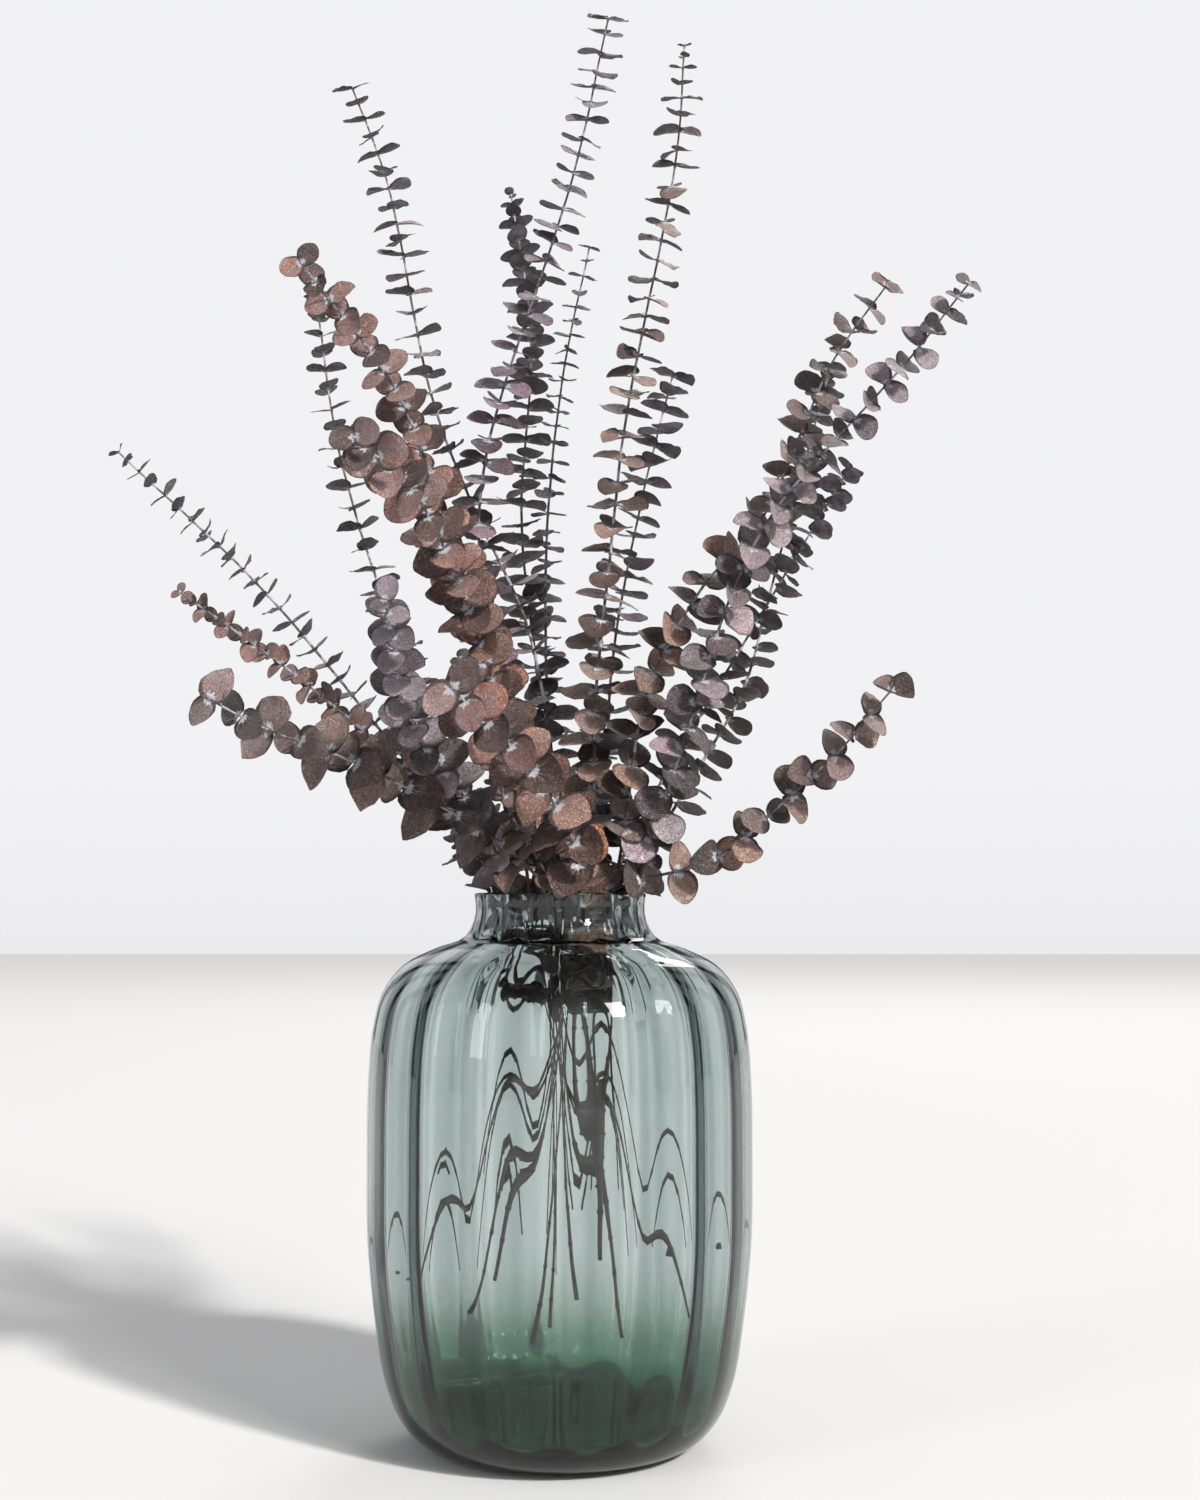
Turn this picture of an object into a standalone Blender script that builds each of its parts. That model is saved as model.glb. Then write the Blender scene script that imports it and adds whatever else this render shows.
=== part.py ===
"""Dried silver-dollar eucalyptus branches standing in a ribbed green glass vase.

Every branch is one solid: a thin four-sided stem whose opposite leaves grow straight out of its faces.
The stems fan out inside the vase, lean in its neck and end against its inner wall.
All lengths are in metres, +Z is up, and the origin is the centre of the vase's foot.
"""

import itertools
import math
import random
from collections import namedtuple

import bpy
import numpy as np
from mathutils import Vector
from mathutils.bvhtree import BVHTree

MM = 0.001

# The vase: outer (radius, height) points in millimetres, from the foot to the rim.
VASE_HEIGHT = 380 * MM
OUTER_POINTS = [
    (76, 0), (97, 7), (111, 22), (121, 47), (127.5, 84), (133.5, 140), (134.5, 200), (134, 250),
    (131, 287), (124.5, 312), (110, 331), (86, 343.5), (68, 350), (61.5, 360), (59.5, 370), (60.5, 380),
]
WALL_THICK = 5.0 * MM
FLOOR_THICK = 17 * MM
FLOOR_RADIUS = 98 * MM
FLOOR_EDGE = 40 * MM
RIB_COUNT = 18
RIB_DEPTH = 4.0 * MM
HEEL_THICK = 12 * MM
HEEL_HEIGHT = 120 * MM

# The stems and leaves.
STEM_STEP = 4 * MM
STEM_FOOT_RADIUS = 2.3 * MM
STEM_TIP_RADIUS = 0.9 * MM
STEM_CLEARANCE = 6.6 * MM
PUSH_LENGTH = 55 * MM
PUSH_SWEEPS = 60
PUSH_SHARE = 0.55
NECK_REACH = 51 * MM
NECK_HEIGHTS = (345 * MM, 387 * MM)
WALL_GAP = 0.4 * MM
FOOT_OVERRUN = 10 * MM
SEARCH_HEIGHT = 230 * MM
SEARCH_STEP = 0.1 * MM
BARE_RING_GAP = 38 * MM
BLADE_THICK = 0.9 * MM
BLADE_MARGIN = 0.35 * MM
BLADE_REACH = 0.62
ROOT_CLEARANCE = 1.8
FULL_SIZE_SHARE = 0.66
BIG_LEAF = 29 * MM
LOWEST_LEAF = 352 * MM
YOUNG_SHARE = (0.30, 0.45, 0.62, 0.76, 0.87, 0.94)
YOUNG_GAP = 0.45
YOUNG_RISE = 30
TURN_DRIFT = 2.5
TURN_JITTER = 13
TILT_JITTER = 9
TWIST_JITTER = 13
FRONT = Vector((0, -1, 0))

# Share of the leaf's length, and half the width there as a share of the whole width.
SMALL_OUTLINE = ((0.34, 0.50), (0.78, 0.42))
BIG_OUTLINE = ((0.20, 0.42), (0.52, 0.52), (0.84, 0.36))
# Changes of tilt, twist and size that a leaf tries, in turn, until it is clear of its neighbours.
TRIES = (
    (0, 0, 1.0), (14, 0, 1.0), (-14, 0, 1.0), (0, 24, 1.0), (0, -24, 1.0), (26, 12, 0.95), (-26, -12, 0.95),
    (38, 0, 0.9), (-34, 20, 0.85), (0, 0, 0.72), (20, -20, 0.72),
)

# foot: its bearing round the vase in degrees and its height. path: the stem from the neck to the tip, in millimetres.
# leaf and gap: leaf length and leaf spacing at the tip and at the neck, in millimetres.
# tilt: how far the leaves rise towards the tip. turn: bearing of the first pair. Both are in degrees.
# face: how far the leaves turn their upper sides to the front, at the tip and at the neck, in degrees.
# young: how many pairs at the tip are still small.
Branch = namedtuple("Branch", "name tint foot path leaf gap tilt turn face young")

BRANCHES = [
    Branch("branch_low_left", "brown", (80, 150),
           [(-4, -46, 374), (-24, -60, 401), (-46, -72, 420), (-92, -110, 447), (-140, -152, 469),
            (-182, -182, 484), (-212, -206, 500)],
           (30, 34), (22, 20), 6, 40, (30, 22), 0),
    Branch("branch_low_right", "brown", (122, 165),
           [(34, -16, 362), (52, -25, 384), (74, -30, 392), (112, -40, 404), (150, -52, 440), (192, -74, 480),
            (222, -92, 516)],
           (19, 27), (20, 22), 6, 20, (40, 35), 1),
    Branch("branch_front_centre", "rust", (106, 118),
           [(14, -46, 372), (16, -66, 402), (4, -88, 430), (-20, -130, 465), (-62, -220, 505)],
           (26, 34), (17, 19), 6, 30, (12, 20), 0),
    Branch("branch_brown_front", "rust", (64, 100),
           [(-20, -28, 378), (-30, -52, 475), (-72, -134, 615), (-97, -186, 690), (-150, -262, 755)],
           (19, 29), (15, 16), 12, 15, (28, 24), 0),
    Branch("branch_rosette_front", "rust", (92, 85),
           [(-6, -34, 378), (-24, -64, 450), (-46, -120, 530), (-80, -232, 616), (-112, -306, 640)],
           (20, 27), (14, 16), 16, 0, (12, 18), 3),
    Branch("branch_silver_front", "mauve", (72, 138),
           [(-30, -36, 374), (-44, -62, 410), (-64, -104, 448), (-90, -170, 490), (-96, -286, 550)],
           (17, 28), (14, 16), 14, 60, (8, 15), 2),
    Branch("branch_tall_right", "brown", (-98, 80),
           [(22, 8, 380), (25, 6, 520), (35, 3, 620), (46, 0, 717), (83, -8, 911), (89, -12, 992)],
           (17, 28), (12, 20), -4, 0, (12, 38), 6),
    Branch("branch_tall_centre", "plum", (-70, 88),
           [(-14, 12, 380), (-44, 12, 519), (-59, 8, 636), (-52, 4, 704), (9, -10, 897), (34, -20, 1008)],
           (16, 26), (12, 17), 0, 30, (16, 25), 0),
    Branch("branch_tall_left", "mauve", (-84, 112),
           [(0, 30, 380), (-22, 28, 565), (-65, 26, 663), (-94, 22, 740), (-128, 14, 901), (-153, 8, 968)],
           (16, 25), (12, 18), 6, 4, (8, 15), 2),
    Branch("branch_right_inner", "brown", (138, 92),
           [(34, -10, 380), (62, -18, 525), (100, -28, 595), (140, -38, 640), (190, -52, 750), (226, -62, 800)],
           (19, 30), (17, 18), 4, 30, (25, 40), 1),
    Branch("branch_right_outer", "mauve", (158, 112),
           [(46, -20, 380), (84, -36, 480), (118, -50, 585), (146, -62, 640), (236, -92, 740), (276, -104, 790)],
           (18, 28), (15, 17), 2, -25, (30, 38), 4),
    Branch("branch_right_back", "plum", (-118, 100),
           [(34, 34, 380), (66, 46, 450), (110, 70, 525), (156, 100, 602), (226, 152, 718)],
           (17, 27), (14, 17), 6, 50, (5, 12), 3),
    Branch("branch_far_left_high", "mauve", (22, 122),
           [(-50, -4, 378), (-82, -10, 440), (-126, -16, 495), (-210, -24, 595), (-310, -34, 690)],
           (12, 21), (12, 15), 12, 10, (3, 12), 4),
    Branch("branch_far_left_low", "rust", (46, 112),
           [(-46, -22, 377), (-60, -32, 410), (-94, -46, 455), (-174, -74, 525), (-250, -112, 580)],
           (11, 21), (11, 15), 14, 35, (35, 25), 4),
    Branch("branch_slim_left", "brown", (-42, 90),
           [(-36, 6, 380), (-84, 10, 490), (-116, 14, 560), (-160, 20, 695), (-180, 26, 815)],
           (13, 24), (14, 17), 14, 0, (0, 12), 3),
    Branch("branch_right_centre", "plum", (-108, 128),
           [(20, 30, 380), (32, 44, 475), (38, 60, 560), (60, 84, 680), (84, 112, 780)],
           (22, 27), (15, 17), 4, 25, (12, 22), 0),
    Branch("branch_plum_centre", "plum", (-92, 98),
           [(-8, 46, 380), (-18, 66, 535), (-32, 100, 665), (-26, 132, 815), (-44, 172, 945)],
           (16, 27), (13, 16), 8, 70, (0, 15), 5),
    Branch("branch_slim_centre", "plum", (-78, 140),
           [(10, 46, 380), (-8, 52, 490), (-12, 66, 640), (0, 84, 774), (20, 98, 878)],
           (10, 22), (12, 17), -4, 12, (22, 25), 2),
    Branch("branch_right_slim", "brown", (-142, 116),
           [(48, 16, 380), (96, 48, 465), (136, 82, 535), (158, 112, 610), (216, 196, 810)],
           (15, 25), (14, 18), 4, -10, (0, 12), 2),
    Branch("branch_small_front", "brown", (98, 150),
           [(2, -50, 374), (-14, -62, 404), (-34, -84, 440), (-50, -120, 495), (-62, -150, 532)],
           (10, 20), (12, 15), 14, 45, (22, 20), 3),
]
# Two of every five leaf pairs are kept, so both bearings of the pairs stay.
KEPT_EVERY = 5
KEPT_PAIRS = (0, 2)
FIRST_SEED = 101

TINTS = {
    "rust": (0.190, 0.080, 0.055),
    "plum": (0.090, 0.062, 0.075),
    "mauve": (0.210, 0.160, 0.165),
    "brown": (0.150, 0.098, 0.085),
}


def smooth_path(points, step):
    """A smooth curve through the points, as points a step apart."""
    p = np.array(points, float)
    t = np.concatenate([[0], np.cumsum(np.linalg.norm(np.diff(p, axis=0), axis=1) ** 0.5)])
    slope = np.empty_like(p)
    slope[0] = (p[1] - p[0]) / (t[1] - t[0])
    slope[-1] = (p[-1] - p[-2]) / (t[-1] - t[-2])
    for i in range(1, len(p) - 1):
        slope[i] = (
            (p[i] - p[i - 1]) / (t[i] - t[i - 1])
            - (p[i + 1] - p[i - 1]) / (t[i + 1] - t[i - 1])
            + (p[i + 1] - p[i]) / (t[i + 1] - t[i])
        )
    fine = []
    for i in range(len(p) - 1):
        span = t[i + 1] - t[i]
        for u in np.linspace(0, 1, 60, endpoint=False):
            fine.append(
                (2 * u**3 - 3 * u**2 + 1) * p[i]
                + (u**3 - 2 * u**2 + u) * span * slope[i]
                + (3 * u**2 - 2 * u**3) * p[i + 1]
                + (u**3 - u**2) * span * slope[i + 1]
            )
    fine.append(p[-1])
    return even_steps(np.array(fine), step)


def even_steps(fine, step):
    """The same line with its points a step apart."""
    along = np.concatenate([[0], np.cumsum(np.linalg.norm(np.diff(fine, axis=0), axis=1))])
    wanted = np.linspace(0, along[-1], max(2, round(along[-1] / step) + 1))
    return np.stack([np.interp(wanted, along, fine[:, k]) for k in range(3)], axis=1)


def vase_outline():
    """The outer outline as a fine (radius, height) line."""
    points = [(r * MM, 0.0, z * MM) for r, z in OUTER_POINTS]
    fine = smooth_path(points, 1 * MM)
    return fine[:, 0], fine[:, 2]


OUTLINE_RADIUS, OUTLINE_HEIGHT = vase_outline()


def outer_radius(height):
    """The vase's outer radius at a height."""
    return float(np.interp(height, OUTLINE_HEIGHT, OUTLINE_RADIUS))


def rib_depth(height):
    """How far the crests of the ribs stand out from the troughs between them, at a height."""
    return RIB_DEPTH * outer_radius(height) / max(OUTLINE_RADIUS)


def inner_radius(height):
    """The radius of the hollow at a height, halfway up the ribs."""
    slope = (outer_radius(height + 2 * MM) - outer_radius(height - 2 * MM)) / (4 * MM)
    wall = WALL_THICK * min(math.hypot(1, slope), 1.9)
    heel = HEEL_THICK * max(0.0, 1 - height / HEEL_HEIGHT) ** 2
    return outer_radius(height) - wall - heel


def first_route(branch):
    """The stem's centre line from its foot to its tip, before the stems are pushed apart."""
    bearing, foot_height = math.radians(branch.foot[0]), branch.foot[1] * MM
    reach = inner_radius(foot_height) + FOOT_OVERRUN
    foot = (reach * math.cos(bearing), reach * math.sin(bearing), foot_height - FOOT_OVERRUN)
    return smooth_path([foot] + [tuple(c * MM for c in p) for p in branch.path], STEM_STEP)


def push_apart(routes):
    """Bends the stems clear of each other and of the vase's rim."""
    for _ in range(PUSH_SWEEPS):
        for a, b in itertools.combinations(routes, 2):
            between = a[:, None, :] - b[None, :, :]
            distance = np.sqrt((between**2).sum(axis=2))
            i, j = np.unravel_index(distance.argmin(), distance.shape)
            short = STEM_CLEARANCE - distance[i, j]
            if short > 0:
                away = between[i, j] / max(distance[i, j], MM)
                bend(a, i, PUSH_SHARE * short * away)
                bend(b, j, -PUSH_SHARE * short * away)
        for route in routes:
            reach = np.hypot(route[:, 0], route[:, 1])
            in_neck = (route[:, 2] > NECK_HEIGHTS[0]) & (route[:, 2] < NECK_HEIGHTS[1])
            k = int(np.where(in_neck, reach, 0).argmax())
            excess = reach[k] - NECK_REACH
            if in_neck[k] and excess > 0:
                bend(route, k, -excess / reach[k] * route[k] * (1, 1, 0))
    return routes


def bend(route, k, move):
    """Moves one point of the route, and its neighbours less and less."""
    along = (np.arange(len(route)) - k) * STEM_STEP / PUSH_LENGTH
    route += np.exp(-(along**2))[:, None] * move


class Stem:
    """A stem's centre line with a steady frame along it. Distances are measured from its lower end."""

    def __init__(self, route):
        self.points = route
        self.length = float(np.linalg.norm(np.diff(route, axis=0), axis=1).sum())
        self.foot = 0.0
        self.places = []
        tangents = np.gradient(route, axis=0)
        self.tangents = tangents / np.linalg.norm(tangents, axis=1)[:, None]
        side = np.array([1.0, 0.0, 0.0])
        self.sides = np.empty_like(route)
        for k in range(len(route) - 1, -1, -1):
            side = side - self.tangents[k] * (side @ self.tangents[k])
            side /= np.linalg.norm(side)
            self.sides[k] = side

    def frame(self, along):
        """The point, the direction and two directions across it, at a distance."""
        k = along / self.length * (len(self.points) - 1)
        i = int(min(max(math.floor(k), 0), len(self.points) - 2))
        u = k - i
        point = self.points[i] * (1 - u) + self.points[i + 1] * u
        ahead = Vector(self.tangents[i] * (1 - u) + self.tangents[i + 1] * u).normalized()
        side = Vector(self.sides[i] * (1 - u) + self.sides[i + 1] * u)
        side = (side - ahead * side.dot(ahead)).normalized()
        return Vector(point), ahead, side, ahead.cross(side)

    def across(self, along, turn):
        """The direction out of the stem at a bearing, and the direction square to it."""
        _, ahead, side, other = self.frame(along)
        out = side * math.cos(math.radians(turn)) + other * math.sin(math.radians(turn))
        return out, ahead.cross(out)

    def radius(self, along):
        """Half the stem's thickness, corner to corner."""
        share = along / self.length
        return STEM_FOOT_RADIUS + (STEM_TIP_RADIUS - STEM_FOOT_RADIUS) * share**1.2

    def ring(self, along, bearing):
        """Four corners round the stem, with face k looking along the bearing plus k quarter turns."""
        point, _, side, other = self.frame(along)
        reach = self.radius(along)
        angles = [math.radians(bearing + 45 + 90 * k) for k in range(4)]
        return [point + (side * math.cos(a) + other * math.sin(a)) * reach for a in angles]

    def rest_on_wall(self, vase_tree):
        """Ends the stem just clear of the vase's inner wall, searching down from the middle of the vase."""
        along = self.length
        while self.frame(along)[0].z > SEARCH_HEIGHT:
            along -= SEARCH_STEP
        while along > 0 and self.gap_to(vase_tree, along) > WALL_GAP:
            along -= SEARCH_STEP
        self.foot = along + SEARCH_STEP

    def gap_to(self, tree, along):
        """The least distance between the stem's corners and the wall."""
        return min(tree.find_nearest(corner)[3] for corner in self.ring(along, 0.0))

    def set_places(self, nodes):
        """Where the stem has corners: at its ends, at every kept node and along its bare stretches."""
        self.places = [self.foot]
        for along in nodes + [self.length]:
            count = max(1, round((along - self.places[-1]) / BARE_RING_GAP))
            self.places += list(np.linspace(self.places[-1], along, count + 1)[1:])


Leaf = namedtuple("Leaf", "along turn tilt twist length width droop order side")


def leaves_of(branch, stem, rng):
    """Every leaf of the branch, from the tip down, as it would grow with nothing in its way."""
    found = []
    growing = YOUNG_SHARE[len(YOUNG_SHARE) - branch.young:]
    down, order = 1.5 * MM, 0
    while True:
        along = stem.length - down
        point = stem.frame(max(along, 0))[0]
        if along < 0 or point.z < LOWEST_LEAF:
            break
        share = min(1.0, down / (stem.length * FULL_SIZE_SHARE))
        young = growing[order] if order < len(growing) else 1.0
        length = (branch.leaf[0] + (branch.leaf[1] - branch.leaf[0]) * share) * young * MM
        face = branch.face[0] + (branch.face[1] - branch.face[0]) * share
        turn = branch.turn + (90 + TURN_DRIFT) * order + rng.uniform(-TURN_JITTER, TURN_JITTER)
        for side in (0, 1):
            out, across = stem.across(along, turn + 180 * side)
            found.append(Leaf(
                along=along, turn=turn + 180 * side,
                tilt=branch.tilt + rng.uniform(-TILT_JITTER, TILT_JITTER) + YOUNG_RISE * (1 - young)
                - face * out.dot(FRONT),
                twist=rng.uniform(-TWIST_JITTER, TWIST_JITTER) - face * across.dot(FRONT),
                length=length * rng.uniform(0.9, 1.1), width=rng.uniform(0.94, 1.08),
                droop=rng.uniform(-0.06, 0.16), order=order, side=side,
            ))
        gap = (branch.gap[0] + (branch.gap[1] - branch.gap[0]) * share) * (YOUNG_GAP + (1 - YOUNG_GAP) * young)
        down += gap * rng.uniform(0.88, 1.12) * MM
        order += 1
    return found


def blade_sections(stem, leaf, change=(0, 0, 1.0), thick=BLADE_THICK, root=1.0):
    """The blade's cross-sections, root to tip, each as (centre, half its width, across, up)."""
    point, ahead, _, _ = stem.frame(leaf.along)
    out, across = stem.across(leaf.along, leaf.turn)
    tilt = math.radians(leaf.tilt + change[0])
    twist = math.radians(leaf.twist + change[1])
    axis = out * math.cos(tilt) + ahead * math.sin(tilt)
    up = ahead * math.cos(tilt) - out * math.sin(tilt)
    rolled = across * math.cos(twist) + up * math.sin(twist)
    normal = up * math.cos(twist) - across * math.sin(twist)
    length = leaf.length * change[2]
    start = point + out * stem.radius(leaf.along) * math.cos(math.pi / 4) * root
    outline = BIG_OUTLINE if leaf.length > BIG_LEAF else SMALL_OUTLINE
    sections = []
    for share, half in outline + ((1.0, 0.0),):
        drop = leaf.droop * length * share**2
        centre = start + axis * length * share - normal * drop
        sections.append((centre, half * length * leaf.width, rolled, normal * thick / 2))
    return start, sections


def blade_tree(stem, leaf, change):
    """A slightly swollen closed blade, for finding what it would touch."""
    start, sections = blade_sections(stem, leaf, change, BLADE_THICK + 2 * BLADE_MARGIN, ROOT_CLEARANCE)
    across, lift = sections[0][2], sections[0][3]
    verts, faces = [], []
    rows = [(start, stem.radius(leaf.along), across, lift)]
    rows += [(c, half + BLADE_MARGIN, a, u) for c, half, a, u in sections]
    for centre, half, side, up in rows:
        verts += [centre - side * half - up, centre + side * half - up]
        verts += [centre + side * half + up, centre - side * half + up]
    for row in range(len(rows) - 1):
        a, b = 4 * row, 4 * row + 4
        for k in range(4):
            m = (k + 1) % 4
            faces += [(a + k, a + m, b + m), (a + k, b + m, b + k)]
    return BVHTree.FromPolygons(verts, faces), (rows[0][0] + rows[-1][0]) / 2


def stem_tree(stem):
    """The stem as a slightly swollen tube, for finding the leaves that would touch it."""
    verts, faces = [], []
    for k, along in enumerate(stem.places):
        point, _, side, other = stem.frame(along)
        reach = stem.radius(along) + 2 * BLADE_MARGIN
        for corner in range(6):
            angle = math.radians(60 * corner)
            verts.append(point + (side * math.cos(angle) + other * math.sin(angle)) * reach)
        if k:
            for corner in range(6):
                after = (corner + 1) % 6
                low, high = 6 * (k - 1), 6 * k
                faces.append((low + corner, low + after, high + after, high + corner))
    return BVHTree.FromPolygons(verts, faces)


class Neighbours:
    """What stands already: the vase, every stem and the leaves placed so far."""

    def __init__(self, stems, vase_tree):
        self.stems = {name: stem_tree(stem) for name, stem in stems.items()}
        self.vase = vase_tree
        self.centres = np.empty((0, 3))
        self.reaches = np.empty(0)
        self.trees = []

    def clear(self, tree, centre, reach, own):
        """Whether a blade touches nothing."""
        if self.vase.overlap(tree):
            return False
        if any(name != own and other.overlap(tree) for name, other in self.stems.items()):
            return False
        near = np.linalg.norm(self.centres - np.array(centre), axis=1) < self.reaches + reach
        return not any(self.trees[k].overlap(tree) for k in np.flatnonzero(near))

    def add(self, tree, centre, reach):
        """A blade that stays."""
        self.centres = np.vstack([self.centres, np.array(centre)])
        self.reaches = np.append(self.reaches, reach)
        self.trees.append(tree)


def place_leaves(leaves, stem, name, neighbours):
    """The leaves that fit, each with the change that keeps it clear."""
    placed = []
    for leaf in leaves:
        for change in TRIES:
            tree, centre = blade_tree(stem, leaf, change)
            reach = BLADE_REACH * leaf.length * change[2] + 2 * MM
            if neighbours.clear(tree, centre, reach, name):
                neighbours.add(tree, centre, reach)
                placed.append((leaf, change))
                break
    return placed


class Shape:
    """Points and triangles of one solid."""

    def __init__(self):
        self.verts, self.faces = [], []

    def add(self, *points):
        """Adds points and gives their numbers."""
        first = len(self.verts)
        self.verts += points
        return list(range(first, first + len(points)))

    def quad(self, a, b, c, d):
        """Two triangles, split from a to c."""
        self.faces += [(a, b, c), (a, c, d)]

    def as_object(self, name, material):
        """A new object with this shape."""
        mesh = bpy.data.meshes.new(name)
        mesh.from_pydata([tuple(v) for v in self.verts], [], self.faces)
        mesh.materials.append(material)
        made = bpy.data.objects.new(name, mesh)
        bpy.context.scene.collection.objects.link(made)
        return made


def grow_blade(shape, low, high, face, stem, leaf, change):
    """Grows a leaf out of one face between two rings of the stem."""
    before = (face - 1) % 4
    last = [low[before], low[face], high[face], high[before]]
    _, sections = blade_sections(stem, leaf, change)
    for centre, half, across, up in sections[:-1]:
        left, right = centre - across * half, centre + across * half
        ring = shape.add(left - up, right - up, right + up, left + up)
        join_sections(shape, last, ring)
        last = ring
    centre, _, _, up = sections[-1]
    under, over = shape.add(centre - up, centre + up)
    shape.faces += [(last[1], under, last[0]), (last[3], over, last[2])]
    shape.quad(last[2], over, under, last[1])
    shape.quad(last[0], under, over, last[3])


def join_sections(shape, a, b):
    """Joins two four-cornered sections, with the lower and the upper face split alike."""
    shape.quad(a[0], a[1], b[1], b[0])
    shape.quad(a[2], b[2], b[1], a[1])
    shape.quad(a[3], b[3], b[2], a[2])
    shape.quad(a[0], b[0], b[3], a[3])


def branch_solid(name, stem, placed, material):
    """One branch as a single closed solid."""
    shape = Shape()
    at_place = {}
    for leaf, change in placed:
        at_place.setdefault(leaf.along, []).append((leaf, change))
    bearing = 0.0
    first = last = shape.add(*stem.ring(stem.foot, bearing))
    for along in stem.places[1:-1]:
        leaves = at_place.get(along, [])
        if not leaves:
            last = join_rings(shape, last, shape.add(*stem.ring(along, bearing)))
            continue
        bearing += (leaves[0][0].turn - bearing + 45) % 90 - 45
        low = join_rings(shape, last, shape.add(*stem.ring(along - BLADE_THICK / 2, bearing)))
        last = shape.add(*stem.ring(along + BLADE_THICK / 2, bearing))
        grown = {round((leaf.turn - bearing) / 90) % 4: (leaf, change) for leaf, change in leaves}
        for face in range(4):
            if face in grown:
                grow_blade(shape, low, last, face, stem, *grown[face])
            else:
                join_face(shape, low, last, face)
    shape.quad(*join_rings(shape, last, shape.add(*stem.ring(stem.length, bearing))))
    shape.quad(*reversed(first))
    return shape.as_object(name, material)


def join_rings(shape, low, high):
    """The stem's four faces between two rings. Gives back the upper ring."""
    for face in range(4):
        join_face(shape, low, high, face)
    return high


def join_face(shape, low, high, face):
    """One face of the stem between two rings."""
    before = (face - 1) % 4
    shape.quad(low[before], low[face], high[face], high[before])


def vase_rings():
    """The vase's section as (radius, height, rib depth), from under the foot over the rim to the floor."""
    outer = [(r * MM, z * MM, 0.0) for r, z in OUTER_POINTS]
    rim = outer[-1][0]
    lip = [(rim - 1.6 * MM, VASE_HEIGHT + 1.6 * MM, 0.0), (rim - 3.6 * MM, VASE_HEIGHT + 1.2 * MM, 0.0)]
    hollow = [(inner_radius(z), z, rib_depth(z)) for _, z, _ in reversed(outer) if z > FLOOR_EDGE]
    floor = [(FLOOR_RADIUS, FLOOR_THICK + 5 * MM, RIB_DEPTH / 2), (FLOOR_RADIUS - 22 * MM, FLOOR_THICK, 0.0)]
    return outer + lip + hollow + floor


def vase_solid(material):
    """The vase: smooth outside, ribbed inside, with a thick floor."""
    shape = Shape()
    around = 2 * RIB_COUNT
    rings = []
    for radius, height, rib in vase_rings():
        ring = []
        for k in range(around):
            reach = radius + (rib / 2 if k % 2 else -rib / 2)
            angle = 2 * math.pi * k / around
            ring.append(Vector((reach * math.cos(angle), reach * math.sin(angle), height)))
        rings.append(shape.add(*ring))
    under, = shape.add(Vector((0, 0, 0)))
    floor, = shape.add(Vector((0, 0, FLOOR_THICK)))
    for k in range(around):
        after = (k + 1) % around
        shape.faces.append((under, rings[0][after], rings[0][k]))
        shape.faces.append((floor, rings[-1][k], rings[-1][after]))
        for low, high in zip(rings, rings[1:]):
            shape.quad(low[k], low[after], high[after], high[k])
    return shape.as_object("vase", material)


def plain_material(name, colour, roughness, alpha=1.0):
    """A simple surface of one colour."""
    made = bpy.data.materials.new(name)
    made.use_nodes = True
    shader = made.node_tree.nodes["Principled BSDF"]
    shader.inputs["Base Color"].default_value = (*colour, 1.0)
    shader.inputs["Roughness"].default_value = roughness
    shader.inputs["Metallic"].default_value = 0.0
    shader.inputs["Alpha"].default_value = alpha
    return made


def clear_scene():
    """Removes whatever the scene starts with."""
    for obj in list(bpy.data.objects):
        bpy.data.objects.remove(obj, do_unlink=True)


def main():
    """Builds the vase, then every branch in the order of the table."""
    clear_scene()
    vase = vase_solid(plain_material("green_glass", (0.30, 0.46, 0.42), 0.05, 0.4))
    vase_tree = BVHTree.FromPolygons(
        [v.co.copy() for v in vase.data.vertices], [tuple(p.vertices) for p in vase.data.polygons]
    )
    routes = push_apart([first_route(branch) for branch in BRANCHES])
    stems, leaves = {}, {}
    for number, (branch, route) in enumerate(zip(BRANCHES, routes)):
        stem = Stem(route)
        stem.rest_on_wall(vase_tree)
        grown = leaves_of(branch, stem, random.Random(FIRST_SEED + number))
        leaves[branch.name] = [leaf for leaf in grown if leaf.order % KEPT_EVERY in KEPT_PAIRS]
        stem.set_places(sorted({leaf.along for leaf in leaves[branch.name]}))
        stems[branch.name] = stem
    neighbours = Neighbours(stems, vase_tree)
    for branch in BRANCHES:
        stem = stems[branch.name]
        placed = place_leaves(leaves[branch.name], stem, branch.name, neighbours)
        branch_solid(branch.name, stem, placed, plain_material(branch.name, TINTS[branch.tint], 0.7))


main()
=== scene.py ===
"""The looks of the eucalyptus branches and their ribbed glass vase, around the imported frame.

Every branch of the frame is replaced by a fine stem and fine leaves: first the leaves that the frame holds,
at the same places, then the pairs between them, and last a few small ones that stand below the vase's rim.
Lengths are in metres, +Z is up, and the origin is the centre of the vase's foot.
"""

import itertools
import math
import random
from collections import namedtuple

import bpy
import numpy as np
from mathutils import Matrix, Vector
from mathutils.bvhtree import BVHTree


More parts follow.
